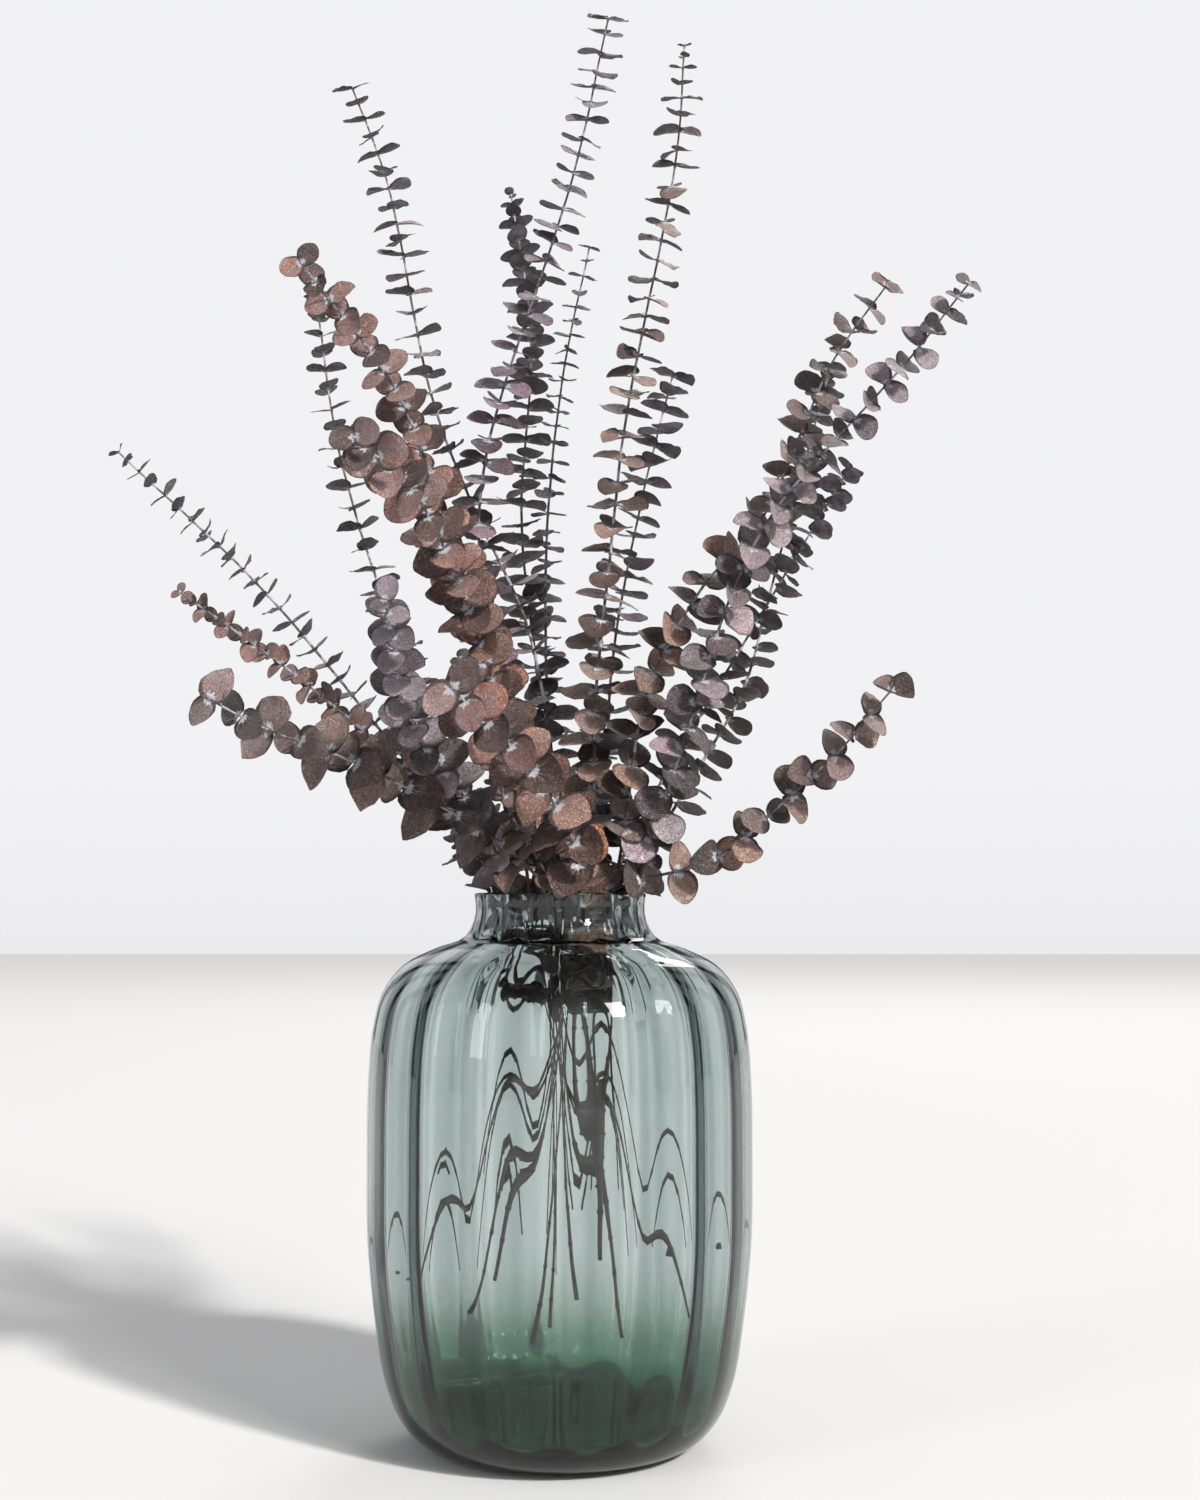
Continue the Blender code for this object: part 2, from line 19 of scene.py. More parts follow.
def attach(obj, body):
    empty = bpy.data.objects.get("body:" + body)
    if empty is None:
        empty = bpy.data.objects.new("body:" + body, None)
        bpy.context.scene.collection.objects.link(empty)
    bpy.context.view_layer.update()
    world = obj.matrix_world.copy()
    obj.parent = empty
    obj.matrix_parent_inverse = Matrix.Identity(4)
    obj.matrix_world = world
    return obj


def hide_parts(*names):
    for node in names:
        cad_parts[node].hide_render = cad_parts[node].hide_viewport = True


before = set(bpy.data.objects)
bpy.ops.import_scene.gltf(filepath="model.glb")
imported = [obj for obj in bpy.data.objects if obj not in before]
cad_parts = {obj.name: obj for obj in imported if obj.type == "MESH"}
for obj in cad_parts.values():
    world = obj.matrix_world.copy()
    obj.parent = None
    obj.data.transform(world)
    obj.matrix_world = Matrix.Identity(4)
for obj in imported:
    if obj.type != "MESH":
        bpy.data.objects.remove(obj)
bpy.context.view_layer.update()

MM = 0.001

# The vase: outer (radius, height) points in millimetres, from the foot to the rim.
VASE_HEIGHT = 380 * MM
OUTER_POINTS = [
    (76, 0), (97, 7), (111, 22), (121, 47), (127.5, 84), (133.5, 140), (134.5, 200), (134, 250),
    (131, 287), (124.5, 312), (110, 331), (86, 343.5), (68, 350), (61.5, 360), (59.5, 370), (60.5, 380),
]
WALL_THICK = 5.0 * MM
FLOOR_THICK = 17 * MM
RIB_COUNT = 18
RIB_DEPTH = 4.0 * MM
HEEL_THICK = 12 * MM
HEEL_HEIGHT = 120 * MM
SLANT_LIMIT = 1.9

# The stems and leaves, as in the frame.
STEM_STEP = 4 * MM
STEM_FOOT_RADIUS = 2.3 * MM
STEM_TIP_RADIUS = 0.9 * MM
STEM_TAPER = 1.2
STEM_CLEARANCE = 6.6 * MM
PUSH_LENGTH = 55 * MM
PUSH_SWEEPS = 60
PUSH_SHARE = 0.55
NECK_REACH = 51 * MM
NECK_HEIGHTS = (345 * MM, 387 * MM)
WALL_GAP = 0.4 * MM
FOOT_OVERRUN = 10 * MM
SEARCH_HEIGHT = 230 * MM
SEARCH_STEP = 0.1 * MM
BARE_RING_GAP = 38 * MM
BLADE_THICK = 0.9 * MM
BLADE_MARGIN = 0.35 * MM
BLADE_REACH = 0.62
ROOT_CLEARANCE = 1.8
FULL_SIZE_SHARE = 0.66
BIG_LEAF = 29 * MM
LOWEST_LEAF = 352 * MM
YOUNG_SHARE = (0.30, 0.45, 0.62, 0.76, 0.87, 0.94)
YOUNG_GAP = 0.45
YOUNG_RISE = 30
TIP_GAP = 1.5 * MM
TURN_DRIFT = 2.5
TURN_JITTER = 13
TILT_JITTER = 9
TWIST_JITTER = 13
LENGTH_SPREAD = (0.9, 1.1)
WIDTH_SPREAD = (0.94, 1.08)
DROOP_SPREAD = (-0.06, 0.16)
GAP_SPREAD = (0.88, 1.12)
FRONT = Vector((0, -1, 0))

# Share of the leaf's length, and half the width there as a share of the whole width.
SMALL_OUTLINE = ((0.34, 0.50), (0.78, 0.42))
BIG_OUTLINE = ((0.20, 0.42), (0.52, 0.52), (0.84, 0.36))
# Changes of tilt, twist and size that a leaf tries, in turn, until it is clear of its neighbours.
TRIES = (
    (0, 0, 1.0), (14, 0, 1.0), (-14, 0, 1.0), (0, 24, 1.0), (0, -24, 1.0), (26, 12, 0.95), (-26, -12, 0.95),
    (38, 0, 0.9), (-34, 20, 0.85), (0, 0, 0.72), (20, -20, 0.72),
)

# foot: its bearing round the vase in degrees and its height. path: the stem from the neck to the tip.
# leaf and gap: leaf length and leaf spacing at the tip and at the neck. Lengths are in millimetres.
# tilt: how far the leaves rise towards the tip. turn: bearing of the first pair. Both are in degrees.
# face: how far the leaves turn their upper sides to the front, at the tip and at the neck, in degrees.
# young: how many pairs at the tip are still small.
Branch = namedtuple("Branch", "name tint foot path leaf gap tilt turn face young")

BRANCHES = [
    Branch("branch_low_left", "brown", (80, 150),
           [(-4, -46, 374), (-24, -60, 401), (-46, -72, 420), (-92, -110, 447), (-140, -152, 469),
            (-182, -182, 484), (-212, -206, 500)],
           (30, 34), (22, 20), 6, 40, (30, 22), 0),
    Branch("branch_low_right", "brown", (122, 165),
           [(34, -16, 362), (52, -25, 384), (74, -30, 392), (112, -40, 404), (150, -52, 440), (192, -74, 480),
            (222, -92, 516)],
           (19, 27), (20, 22), 6, 20, (40, 35), 1),
    Branch("branch_front_centre", "rust", (106, 118),
           [(14, -46, 372), (16, -66, 402), (4, -88, 430), (-20, -130, 465), (-62, -220, 505)],
           (26, 34), (17, 19), 6, 30, (12, 20), 0),
    Branch("branch_brown_front", "rust", (64, 100),
           [(-20, -28, 378), (-30, -52, 475), (-72, -134, 615), (-97, -186, 690), (-150, -262, 755)],
           (19, 29), (15, 16), 12, 15, (28, 24), 0),
    Branch("branch_rosette_front", "rust", (92, 85),
           [(-6, -34, 378), (-24, -64, 450), (-46, -120, 530), (-80, -232, 616), (-112, -306, 640)],
           (20, 27), (14, 16), 16, 0, (12, 18), 3),
    Branch("branch_silver_front", "mauve", (72, 138),
           [(-30, -36, 374), (-44, -62, 410), (-64, -104, 448), (-90, -170, 490), (-96, -286, 550)],
           (17, 28), (14, 16), 14, 60, (8, 15), 2),
    Branch("branch_tall_right", "brown", (-98, 80),
           [(22, 8, 380), (25, 6, 520), (35, 3, 620), (46, 0, 717), (83, -8, 911), (89, -12, 992)],
           (17, 28), (12, 20), -4, 0, (12, 38), 6),
    Branch("branch_tall_centre", "plum", (-70, 88),
           [(-14, 12, 380), (-44, 12, 519), (-59, 8, 636), (-52, 4, 704), (9, -10, 897), (34, -20, 1008)],
           (16, 26), (12, 17), 0, 30, (16, 25), 0),
    Branch("branch_tall_left", "mauve", (-84, 112),
           [(0, 30, 380), (-22, 28, 565), (-65, 26, 663), (-94, 22, 740), (-128, 14, 901), (-153, 8, 968)],
           (16, 25), (12, 18), 6, 4, (8, 15), 2),
    Branch("branch_right_inner", "brown", (138, 92),
           [(34, -10, 380), (62, -18, 525), (100, -28, 595), (140, -38, 640), (190, -52, 750),
            (226, -62, 800)],
           (19, 30), (17, 18), 4, 30, (25, 40), 1),
    Branch("branch_right_outer", "mauve", (158, 112),
           [(46, -20, 380), (84, -36, 480), (118, -50, 585), (146, -62, 640), (236, -92, 740),
            (276, -104, 790)],
           (18, 28), (15, 17), 2, -25, (30, 38), 4),
    Branch("branch_right_back", "plum", (-118, 100),
           [(34, 34, 380), (66, 46, 450), (110, 70, 525), (156, 100, 602), (226, 152, 718)],
           (17, 27), (14, 17), 6, 50, (5, 12), 3),
    Branch("branch_far_left_high", "mauve", (22, 122),
           [(-50, -4, 378), (-82, -10, 440), (-126, -16, 495), (-210, -24, 595), (-310, -34, 690)],
           (12, 21), (12, 15), 12, 10, (3, 12), 4),
    Branch("branch_far_left_low", "rust", (46, 112),
           [(-46, -22, 377), (-60, -32, 410), (-94, -46, 455), (-174, -74, 525), (-250, -112, 580)],
           (11, 21), (11, 15), 14, 35, (35, 25), 4),
    Branch("branch_slim_left", "brown", (-42, 90),
           [(-36, 6, 380), (-84, 10, 490), (-116, 14, 560), (-160, 20, 695), (-180, 26, 815)],
           (13, 24), (14, 17), 14, 0, (0, 12), 3),
    Branch("branch_right_centre", "plum", (-108, 128),
           [(20, 30, 380), (32, 44, 475), (38, 60, 560), (60, 84, 680), (84, 112, 780)],
           (22, 27), (15, 17), 4, 25, (12, 22), 0),
    Branch("branch_plum_centre", "plum", (-92, 98),
           [(-8, 46, 380), (-18, 66, 535), (-32, 100, 665), (-26, 132, 815), (-44, 172, 945)],
           (16, 27), (13, 16), 8, 70, (0, 15), 5),
    Branch("branch_slim_centre", "plum", (-78, 140),
           [(10, 46, 380), (-8, 52, 490), (-12, 66, 640), (0, 84, 774), (20, 98, 878)],
           (10, 22), (12, 17), -4, 12, (22, 25), 2),
    Branch("branch_right_slim", "brown", (-142, 116),
           [(48, 16, 380), (96, 48, 465), (136, 82, 535), (158, 112, 610), (216, 196, 810)],
           (15, 25), (14, 18), 4, -10, (0, 12), 2),
    Branch("branch_small_front", "brown", (98, 150),
           [(2, -50, 374), (-14, -62, 404), (-34, -84, 440), (-50, -120, 495), (-62, -150, 532)],
           (10, 20), (12, 15), 14, 45, (22, 20), 3),
]
# Two of every five leaf pairs are in the frame. The rest are added here.
KEPT_EVERY = 5
KEPT_PAIRS = (0, 2)
FIRST_SEED = 101
SHAPE_SEED = 701

# The fine stems. Their thickness is a share of the frame's, in the vase and above it.
STEM_SIDES = 9
STEM_ROW_GAP = 4 * MM
STEM_FILL_LOW = 0.58
STEM_FILL = 0.70
STEM_FILL_HEIGHT = 300 * MM
STEM_SWAY = 0.12
STEM_UNEVEN = 0.05
SWAY_LENGTH = 9 * MM
UNEVEN_LENGTH = 14 * MM
NODE_SWELL = 0.50
NODE_WIDTH = 1.1 * MM
NODE_ROWS = (-1.6, -0.7, 0, 0.7, 1.6)
NODE_REACH = 2 * MM
SCAR_GAP = 23 * MM
SCAR_SPREAD = (0.8, 1.25)

# The fine leaves. The powers shape the outline at the root and at the top. The bends are shares of the
# leaf's length.
LEAF_THICK = 0.5 * MM
LEAF_ROWS = 10
LEAF_COLUMNS = 6
LEAF_HALF_WIDTH = 0.52
ROOT_START = 0.6
ROOT_POWER = 0.40
TOP_POWER = 0.5
TOP_POWER_SPREAD = (0.0, 0.12)
BIG_TOP_POWER = 0.10
TIP_POINT = 0.06
LOBE_SPREAD = (0.06, 0.13)
LEAN_SPREAD = (-0.05, 0.05)
CUP_SPREAD = (-0.16, 0.50)
FOLD_SPREAD = (-0.06, 0.20)
WARP_SPREAD = (-0.35, 0.35)
CURL_SPREAD = (-0.05, 0.10)
BIG_CURL = 2.2
RIPPLES = (0.010, 0.016, 0.024, 0.040)
PHASES = (0, 6.28)

# The smaller leaves that were pushed down through the neck and stand in the shoulder.
NECK_LEAF_TOP = 344 * MM
NECK_LEAF_LOW = 298 * MM
NECK_LEAF_GAP = 12 * MM
NECK_GAP_SPREAD = (0.9, 1.3)
NECK_LEAF_SHARE = 0.85
NECK_LENGTH_SPREAD = (0.7, 1.0)
NECK_TILT_SPREAD = (10, 55)
NECK_TWIST_SPREAD = (-30, 30)
NECK_DROOP = 0.1
NECK_SEED = 901

# How much more the leaves of a branch are bent, and their size beside the frame's, low down and at the tip.
# TIP_STRETCH is the share of the stem, from its tip, over which the size changes from one to the other.
Habit = namedtuple("Habit", "bent size tip_size")
PLAIN_HABIT = Habit(1.2, 1.0, 1.0)
HABITS = {
    "branch_low_left": Habit(2.0, 0.88, 0.66),
    "branch_low_right": Habit(3.0, 0.95, 0.90),
    "branch_front_centre": Habit(1.4, 0.92, 0.85),
    "branch_brown_front": Habit(1.4, 0.98, 0.76),
    "branch_rosette_front": Habit(1.7, 1.0, 1.0),
    "branch_silver_front": Habit(1.6, 0.95, 0.90),
    "branch_tall_right": Habit(1.3, 0.97, 0.95),
    "branch_right_inner": Habit(1.9, 0.93, 0.92),
    "branch_right_outer": Habit(2.1, 0.92, 0.90),
    "branch_right_centre": Habit(1.5, 0.95, 0.95),
}
TIP_STRETCH = 0.25

# The fine vase.
VASE_AROUND = 12 * RIB_COUNT
VASE_ROW_GAP = 6 * MM
OUTER_RIB_DEPTH = 0.4 * MM
OUTER_RIB_HEIGHT = 60 * MM
LIP_RADIUS = 2.5 * MM
LIP_RISE = 1.6 * MM
RIB_FADE = 24 * MM
FLOOR_BEND = 26 * MM
FLOOR_DOME = 1.5 * MM

# The glass: its colour deepens with its thickness, and painted shade darkens its tint towards the foot.
GLASS_TINT = (0.97, 1.0, 0.99)
GLASS_FOOT_SHADE = (0.19, 0.43, 0.29)
GLASS_FOOT_SHADE_HEIGHT = 10 * MM
GLASS_COLOUR = (0.32, 0.435, 0.42, 1.0)
GLASS_DENSITY = 106.0

# The surroundings' brightness: to the camera above and at the horizon, and as soft light. The glass shows
# them as bright panels with gaps between them.
BACKDROP = 0.90
BACKDROP_LOW = 0.84
HORIZON_START = 0.03
HORIZON_SLOPE = 12.0
AMBIENT = 0.36
PANEL_COUNT = 20
PANEL_SHIFT = 0.70
PANEL_SLOPE = 1.6
PANEL_TOP = 0.85
PANEL_FADE = 3.0
PANEL_BRIGHT = 0.86
PANEL_GAP = 0.08
SURROUNDINGS_COLOUR = (0.985, 0.985, 1.0, 1.0)

# The sun, and the soft lights: name, place, what it looks at, its two sides, its power in watts, its colour.
SUN_FROM = (0.62, -0.66, 0.62)
SUN_STRENGTH = 3.0
SUN_SPREAD = 5
SUN_COLOUR = (1.0, 0.985, 0.96)
LIGHTS = (
    ("key_light", (3.9, -5.1, 4.5), (0, 0, 0.3), (1.5, 2.4), 216, (1.0, 0.98, 0.95)),
    ("fill_light", (-6.0, -4.8, 3.3), (0, 0, 0.4), (1.5, 4.8), 108, (0.95, 0.97, 1.0)),
    ("back_light", (1.8, 6.0, 5.7), (0, 0, 0.5), (3.6, 2.4), 144, (1.0, 1.0, 1.0)),
)
FLOOR_REACH = 12.0
FLOOR_COLOUR = (0.74, 0.737, 0.74, 1.0)

# The photograph's view: the camera's place, its tilt up in degrees and its lens.
CAMERA_PLACE = (0.028, -1.475, 0.380)
CAMERA_TILT = 3.98
CAMERA_LENS = 50


def smooth_path(points, step):
    """A smooth curve through the points, as points a step apart."""
    p = np.array(points, float)
    t = np.concatenate([[0], np.cumsum(np.linalg.norm(np.diff(p, axis=0), axis=1) ** 0.5)])
    slope = np.empty_like(p)
    slope[0] = (p[1] - p[0]) / (t[1] - t[0])
    slope[-1] = (p[-1] - p[-2]) / (t[-1] - t[-2])
    for i in range(1, len(p) - 1):
        slope[i] = (
            (p[i] - p[i - 1]) / (t[i] - t[i - 1])
            - (p[i + 1] - p[i - 1]) / (t[i + 1] - t[i - 1])
            + (p[i + 1] - p[i]) / (t[i + 1] - t[i])
        )
    fine = []
    for i in range(len(p) - 1):
        span = t[i + 1] - t[i]
        for u in np.linspace(0, 1, 60, endpoint=False):
            fine.append(
                (2 * u**3 - 3 * u**2 + 1) * p[i]
                + (u**3 - 2 * u**2 + u) * span * slope[i]
                + (3 * u**2 - 2 * u**3) * p[i + 1]
                + (u**3 - u**2) * span * slope[i + 1]
            )
    fine.append(p[-1])
    return even_steps(np.array(fine), step)


def even_steps(fine, step):
    """The same line with its points a step apart."""
    along = np.concatenate([[0], np.cumsum(np.linalg.norm(np.diff(fine, axis=0), axis=1))])
    wanted = np.linspace(0, along[-1], max(2, round(along[-1] / step) + 1))
    return np.stack([np.interp(wanted, along, fine[:, k]) for k in range(3)], axis=1)


def vase_outline():
    """The outer outline as a fine (radius, height) line."""
    points = [(r * MM, 0.0, z * MM) for r, z in OUTER_POINTS]
    fine = smooth_path(points, 1 * MM)
    return fine[:, 0], fine[:, 2]


OUTLINE_RADIUS, OUTLINE_HEIGHT = vase_outline()


def outer_radius(height):
    """The vase's outer radius at a height."""
    return float(np.interp(height, OUTLINE_HEIGHT, OUTLINE_RADIUS))


def rib_depth(height):
    """How far the crests of the ribs stand out from the troughs between them, at a height."""
    return RIB_DEPTH * outer_radius(height) / max(OUTLINE_RADIUS)


def inner_radius(height):
    """The radius of the hollow at a height, halfway up the ribs."""
    slope = (outer_radius(height + 2 * MM) - outer_radius(height - 2 * MM)) / (4 * MM)
    wall = WALL_THICK * min(math.hypot(1, slope), SLANT_LIMIT)
    heel = HEEL_THICK * max(0.0, 1 - height / HEEL_HEIGHT) ** 2
    return outer_radius(height) - wall - heel


def first_route(branch):
    """The stem's centre line from its foot to its tip, before the stems are pushed apart."""
    bearing, foot_height = math.radians(branch.foot[0]), branch.foot[1] * MM
    reach = inner_radius(foot_height) + FOOT_OVERRUN
    foot = (reach * math.cos(bearing), reach * math.sin(bearing), foot_height - FOOT_OVERRUN)
    return smooth_path([foot] + [tuple(c * MM for c in p) for p in branch.path], STEM_STEP)


def push_apart(routes):
    """Bends the stems clear of each other and of the vase's rim."""
    for _ in range(PUSH_SWEEPS):
        for a, b in itertools.combinations(routes, 2):
            between = a[:, None, :] - b[None, :, :]
            distance = np.sqrt((between**2).sum(axis=2))
            i, j = np.unravel_index(distance.argmin(), distance.shape)
            short = STEM_CLEARANCE - distance[i, j]
            if short > 0:
                away = between[i, j] / max(distance[i, j], MM)
                bend(a, i, PUSH_SHARE * short * away)
                bend(b, j, -PUSH_SHARE * short * away)
        for route in routes:
            reach = np.hypot(route[:, 0], route[:, 1])
            in_neck = (route[:, 2] > NECK_HEIGHTS[0]) & (route[:, 2] < NECK_HEIGHTS[1])
            k = int(np.where(in_neck, reach, 0).argmax())
            excess = reach[k] - NECK_REACH
            if in_neck[k] and excess > 0:
                bend(route, k, -excess / reach[k] * route[k] * (1, 1, 0))
    return routes


def bend(route, k, move):
    """Moves one point of the route, and its neighbours less and less."""
    along = (np.arange(len(route)) - k) * STEM_STEP / PUSH_LENGTH
    route += np.exp(-(along**2))[:, None] * move


class Stem:
    """A stem's centre line with a steady frame along it. Distances are measured from its lower end."""

    def __init__(self, route):
        self.points = route
        self.length = float(np.linalg.norm(np.diff(route, axis=0), axis=1).sum())
        self.foot = 0.0
        self.places = []
        tangents = np.gradient(route, axis=0)
        self.tangents = tangents / np.linalg.norm(tangents, axis=1)[:, None]
        side = np.array([1.0, 0.0, 0.0])
        self.sides = np.empty_like(route)
        for k in range(len(route) - 1, -1, -1):
            side = side - self.tangents[k] * (side @ self.tangents[k])
            side /= np.linalg.norm(side)
            self.sides[k] = side

    def frame(self, along):
        """The point, the direction and two directions across it, at a distance."""
        k = along / self.length * (len(self.points) - 1)
        i = int(min(max(math.floor(k), 0), len(self.points) - 2))
        u = k - i
        point = self.points[i] * (1 - u) + self.points[i + 1] * u
        ahead = Vector(self.tangents[i] * (1 - u) + self.tangents[i + 1] * u).normalized()
        side = Vector(self.sides[i] * (1 - u) + self.sides[i + 1] * u)
        side = (side - ahead * side.dot(ahead)).normalized()
        return Vector(point), ahead, side, ahead.cross(side)

    def across(self, along, turn):
        """The direction out of the stem at a bearing, and the direction square to it."""
        _, ahead, side, other = self.frame(along)
        out = side * math.cos(math.radians(turn)) + other * math.sin(math.radians(turn))
        return out, ahead.cross(out)

    def radius(self, along):
        """Half the stem's thickness, corner to corner."""
        share = along / self.length
        return STEM_FOOT_RADIUS + (STEM_TIP_RADIUS - STEM_FOOT_RADIUS) * share**STEM_TAPER

    def ring(self, along, bearing):
        """Four corners round the stem, with face k looking along the bearing plus k quarter turns."""
        point, _, side, other = self.frame(along)
        reach = self.radius(along)
        angles = [math.radians(bearing + 45 + 90 * k) for k in range(4)]
        return [point + (side * math.cos(a) + other * math.sin(a)) * reach for a in angles]

    def rest_on_wall(self, vase_tree):
        """Ends the stem just clear of the vase's inner wall, searching down from the middle of the vase."""
        along = self.length
        while self.frame(along)[0].z > SEARCH_HEIGHT:
            along -= SEARCH_STEP
        while along > 0 and self.gap_to(vase_tree, along) > WALL_GAP:
            along -= SEARCH_STEP
        self.foot = along + SEARCH_STEP

    def gap_to(self, tree, along):
        """The least distance between the stem's corners and the wall."""
        return min(tree.find_nearest(corner)[3] for corner in self.ring(along, 0.0))

    def set_places(self, nodes):
        """Where the stem has corners: at its ends, at every kept node and along its bare stretches."""
        self.places = [self.foot]
        for along in nodes + [self.length]:
            count = max(1, round((along - self.places[-1]) / BARE_RING_GAP))
            self.places += list(np.linspace(self.places[-1], along, count + 1)[1:])


Leaf = namedtuple("Leaf", "along turn tilt twist length width droop order side")


def leaves_of(branch, stem, rng):
    """Every leaf of the branch, from the tip down, as it would grow with nothing in its way."""
    found = []
    growing = YOUNG_SHARE[len(YOUNG_SHARE) - branch.young:]
    down, order = TIP_GAP, 0
    while True:
        along = stem.length - down
        point = stem.frame(max(along, 0))[0]
        if along < 0 or point.z < LOWEST_LEAF:
            break
        share = min(1.0, down / (stem.length * FULL_SIZE_SHARE))
        young = growing[order] if order < len(growing) else 1.0
        length = (branch.leaf[0] + (branch.leaf[1] - branch.leaf[0]) * share) * young * MM
        face = branch.face[0] + (branch.face[1] - branch.face[0]) * share
        turn = branch.turn + (90 + TURN_DRIFT) * order + rng.uniform(-TURN_JITTER, TURN_JITTER)
        for side in (0, 1):
            out, across = stem.across(along, turn + 180 * side)
            found.append(Leaf(
                along=along, turn=turn + 180 * side,
                tilt=branch.tilt + rng.uniform(-TILT_JITTER, TILT_JITTER) + YOUNG_RISE * (1 - young)
                - face * out.dot(FRONT),
                twist=rng.uniform(-TWIST_JITTER, TWIST_JITTER) - face * across.dot(FRONT),
                length=length * rng.uniform(*LENGTH_SPREAD), width=rng.uniform(*WIDTH_SPREAD),
                droop=rng.uniform(*DROOP_SPREAD), order=order, side=side,
            ))
        gap = branch.gap[0] + (branch.gap[1] - branch.gap[0]) * share
        down += gap * (YOUNG_GAP + (1 - YOUNG_GAP) * young) * rng.uniform(*GAP_SPREAD) * MM
        order += 1
    return found


def blade_axes(stem, leaf, change, root=1.0):
    """Where the blade starts, and its directions along, across and up."""
    point, ahead, _, _ = stem.frame(leaf.along)
    out, across = stem.across(leaf.along, leaf.turn)
    tilt = math.radians(leaf.tilt + change[0])
    twist = math.radians(leaf.twist + change[1])
    axis = out * math.cos(tilt) + ahead * math.sin(tilt)
    up = ahead * math.cos(tilt) - out * math.sin(tilt)
    rolled = across * math.cos(twist) + up * math.sin(twist)
    normal = up * math.cos(twist) - across * math.sin(twist)
    start = point + out * stem.radius(leaf.along) * math.cos(math.pi / 4) * root
    return start, axis, rolled, normal


def blade_tree(stem, leaf, change):
    """A slightly swollen closed blade, for finding what it would touch."""
    start, axis, across, up = blade_axes(stem, leaf, change, ROOT_CLEARANCE)
    length = leaf.length * change[2]
    outline = BIG_OUTLINE if leaf.length > BIG_LEAF else SMALL_OUTLINE
    lift = up * (BLADE_THICK / 2 + BLADE_MARGIN)
    verts, faces = [], []
    rows = [(start, stem.radius(leaf.along))]
    for share, half in outline + ((1.0, 0.0),):
        centre = start + axis * length * share - up * leaf.droop * length * share**2
        rows.append((centre, half * length * leaf.width + BLADE_MARGIN))
    for centre, half in rows:
        verts += [centre - across * half - lift, centre + across * half - lift]
        verts += [centre + across * half + lift, centre - across * half + lift]
    for row in range(len(rows) - 1):
        a, b = 4 * row, 4 * row + 4
        for k in range(4):
            m = (k + 1) % 4
            faces += [(a + k, a + m, b + m), (a + k, b + m, b + k)]
    return BVHTree.FromPolygons(verts, faces), (rows[0][0] + rows[-1][0]) / 2


def tube_faces(rows, around):
    """The quads of a tube with so many rings of so many points."""
    faces = []
    for row in range(rows - 1):
        for k in range(around):
            after = (k + 1) % around
            low, high = row * around, (row + 1) * around
            faces.append((low + k, low + after, high + after, high + k))
    return faces


def stem_tree(stem):
    """The stem as a slightly swollen tube, for finding the leaves that would touch it."""
    verts = []
    for along in stem.places:
        point, _, side, other = stem.frame(along)
        reach = stem.radius(along) + 2 * BLADE_MARGIN
        for degrees in range(0, 360, 60):
            angle = math.radians(degrees)
            verts.append(point + (side * math.cos(angle) + other * math.sin(angle)) * reach)
    return BVHTree.FromPolygons(verts, tube_faces(len(stem.places), 6))


class Neighbours:
    """What stands already: the vase, every stem and the leaves placed so far."""

    def __init__(self, stems, vase_tree):
        self.stems = {name: stem_tree(stem) for name, stem in stems.items()}
        self.vase = vase_tree
        self.centres = np.empty((0, 3))
        self.reaches = np.empty(0)
        self.trees = []

    def clear(self, tree, centre, reach, own):
        """Whether a blade touches nothing."""
        if self.vase.overlap(tree):
            return False
        if any(name != own and other.overlap(tree) for name, other in self.stems.items()):
            return False
        near = np.linalg.norm(self.centres - np.array(centre), axis=1) < self.reaches + reach
        return not any(self.trees[k].overlap(tree) for k in np.flatnonzero(near))

    def add(self, tree, centre, reach):
        """A blade that stays."""
        self.centres = np.vstack([self.centres, np.array(centre)])
        self.reaches = np.append(self.reaches, reach)
        self.trees.append(tree)


def neck_leaves(branch, stem, lowest, rng):
    """Leaf pairs below the neck, folded up along the stem."""
    found = []
    along = lowest - NECK_LEAF_GAP
    while stem.frame(along)[0].z > NECK_LEAF_LOW:
        if stem.frame(along)[0].z < NECK_LEAF_TOP:
            turn = rng.uniform(0, 360)
            for side in (0, 1):
                found.append(Leaf(
                    along=along, turn=turn + 180 * side,
                    tilt=rng.uniform(*NECK_TILT_SPREAD), twist=rng.uniform(*NECK_TWIST_SPREAD),
                    length=branch.leaf[1] * MM * NECK_LEAF_SHARE * rng.uniform(*NECK_LENGTH_SPREAD),
                    width=1.0, droop=NECK_DROOP, order=0, side=side,
                ))
        along -= NECK_LEAF_GAP * rng.uniform(*NECK_GAP_SPREAD)
    return found


def place_leaves(leaves, stem, name, neighbours):
    """The leaves that fit, each with the change that keeps it clear."""
    placed = []
    for leaf in leaves:
        for change in TRIES:
            tree, centre = blade_tree(stem, leaf, change)
            reach = BLADE_REACH * leaf.length * change[2] + 2 * MM
            if neighbours.clear(tree, centre, reach, name):
                neighbours.add(tree, centre, reach)
                placed.append((leaf, change))
                break
    return placed


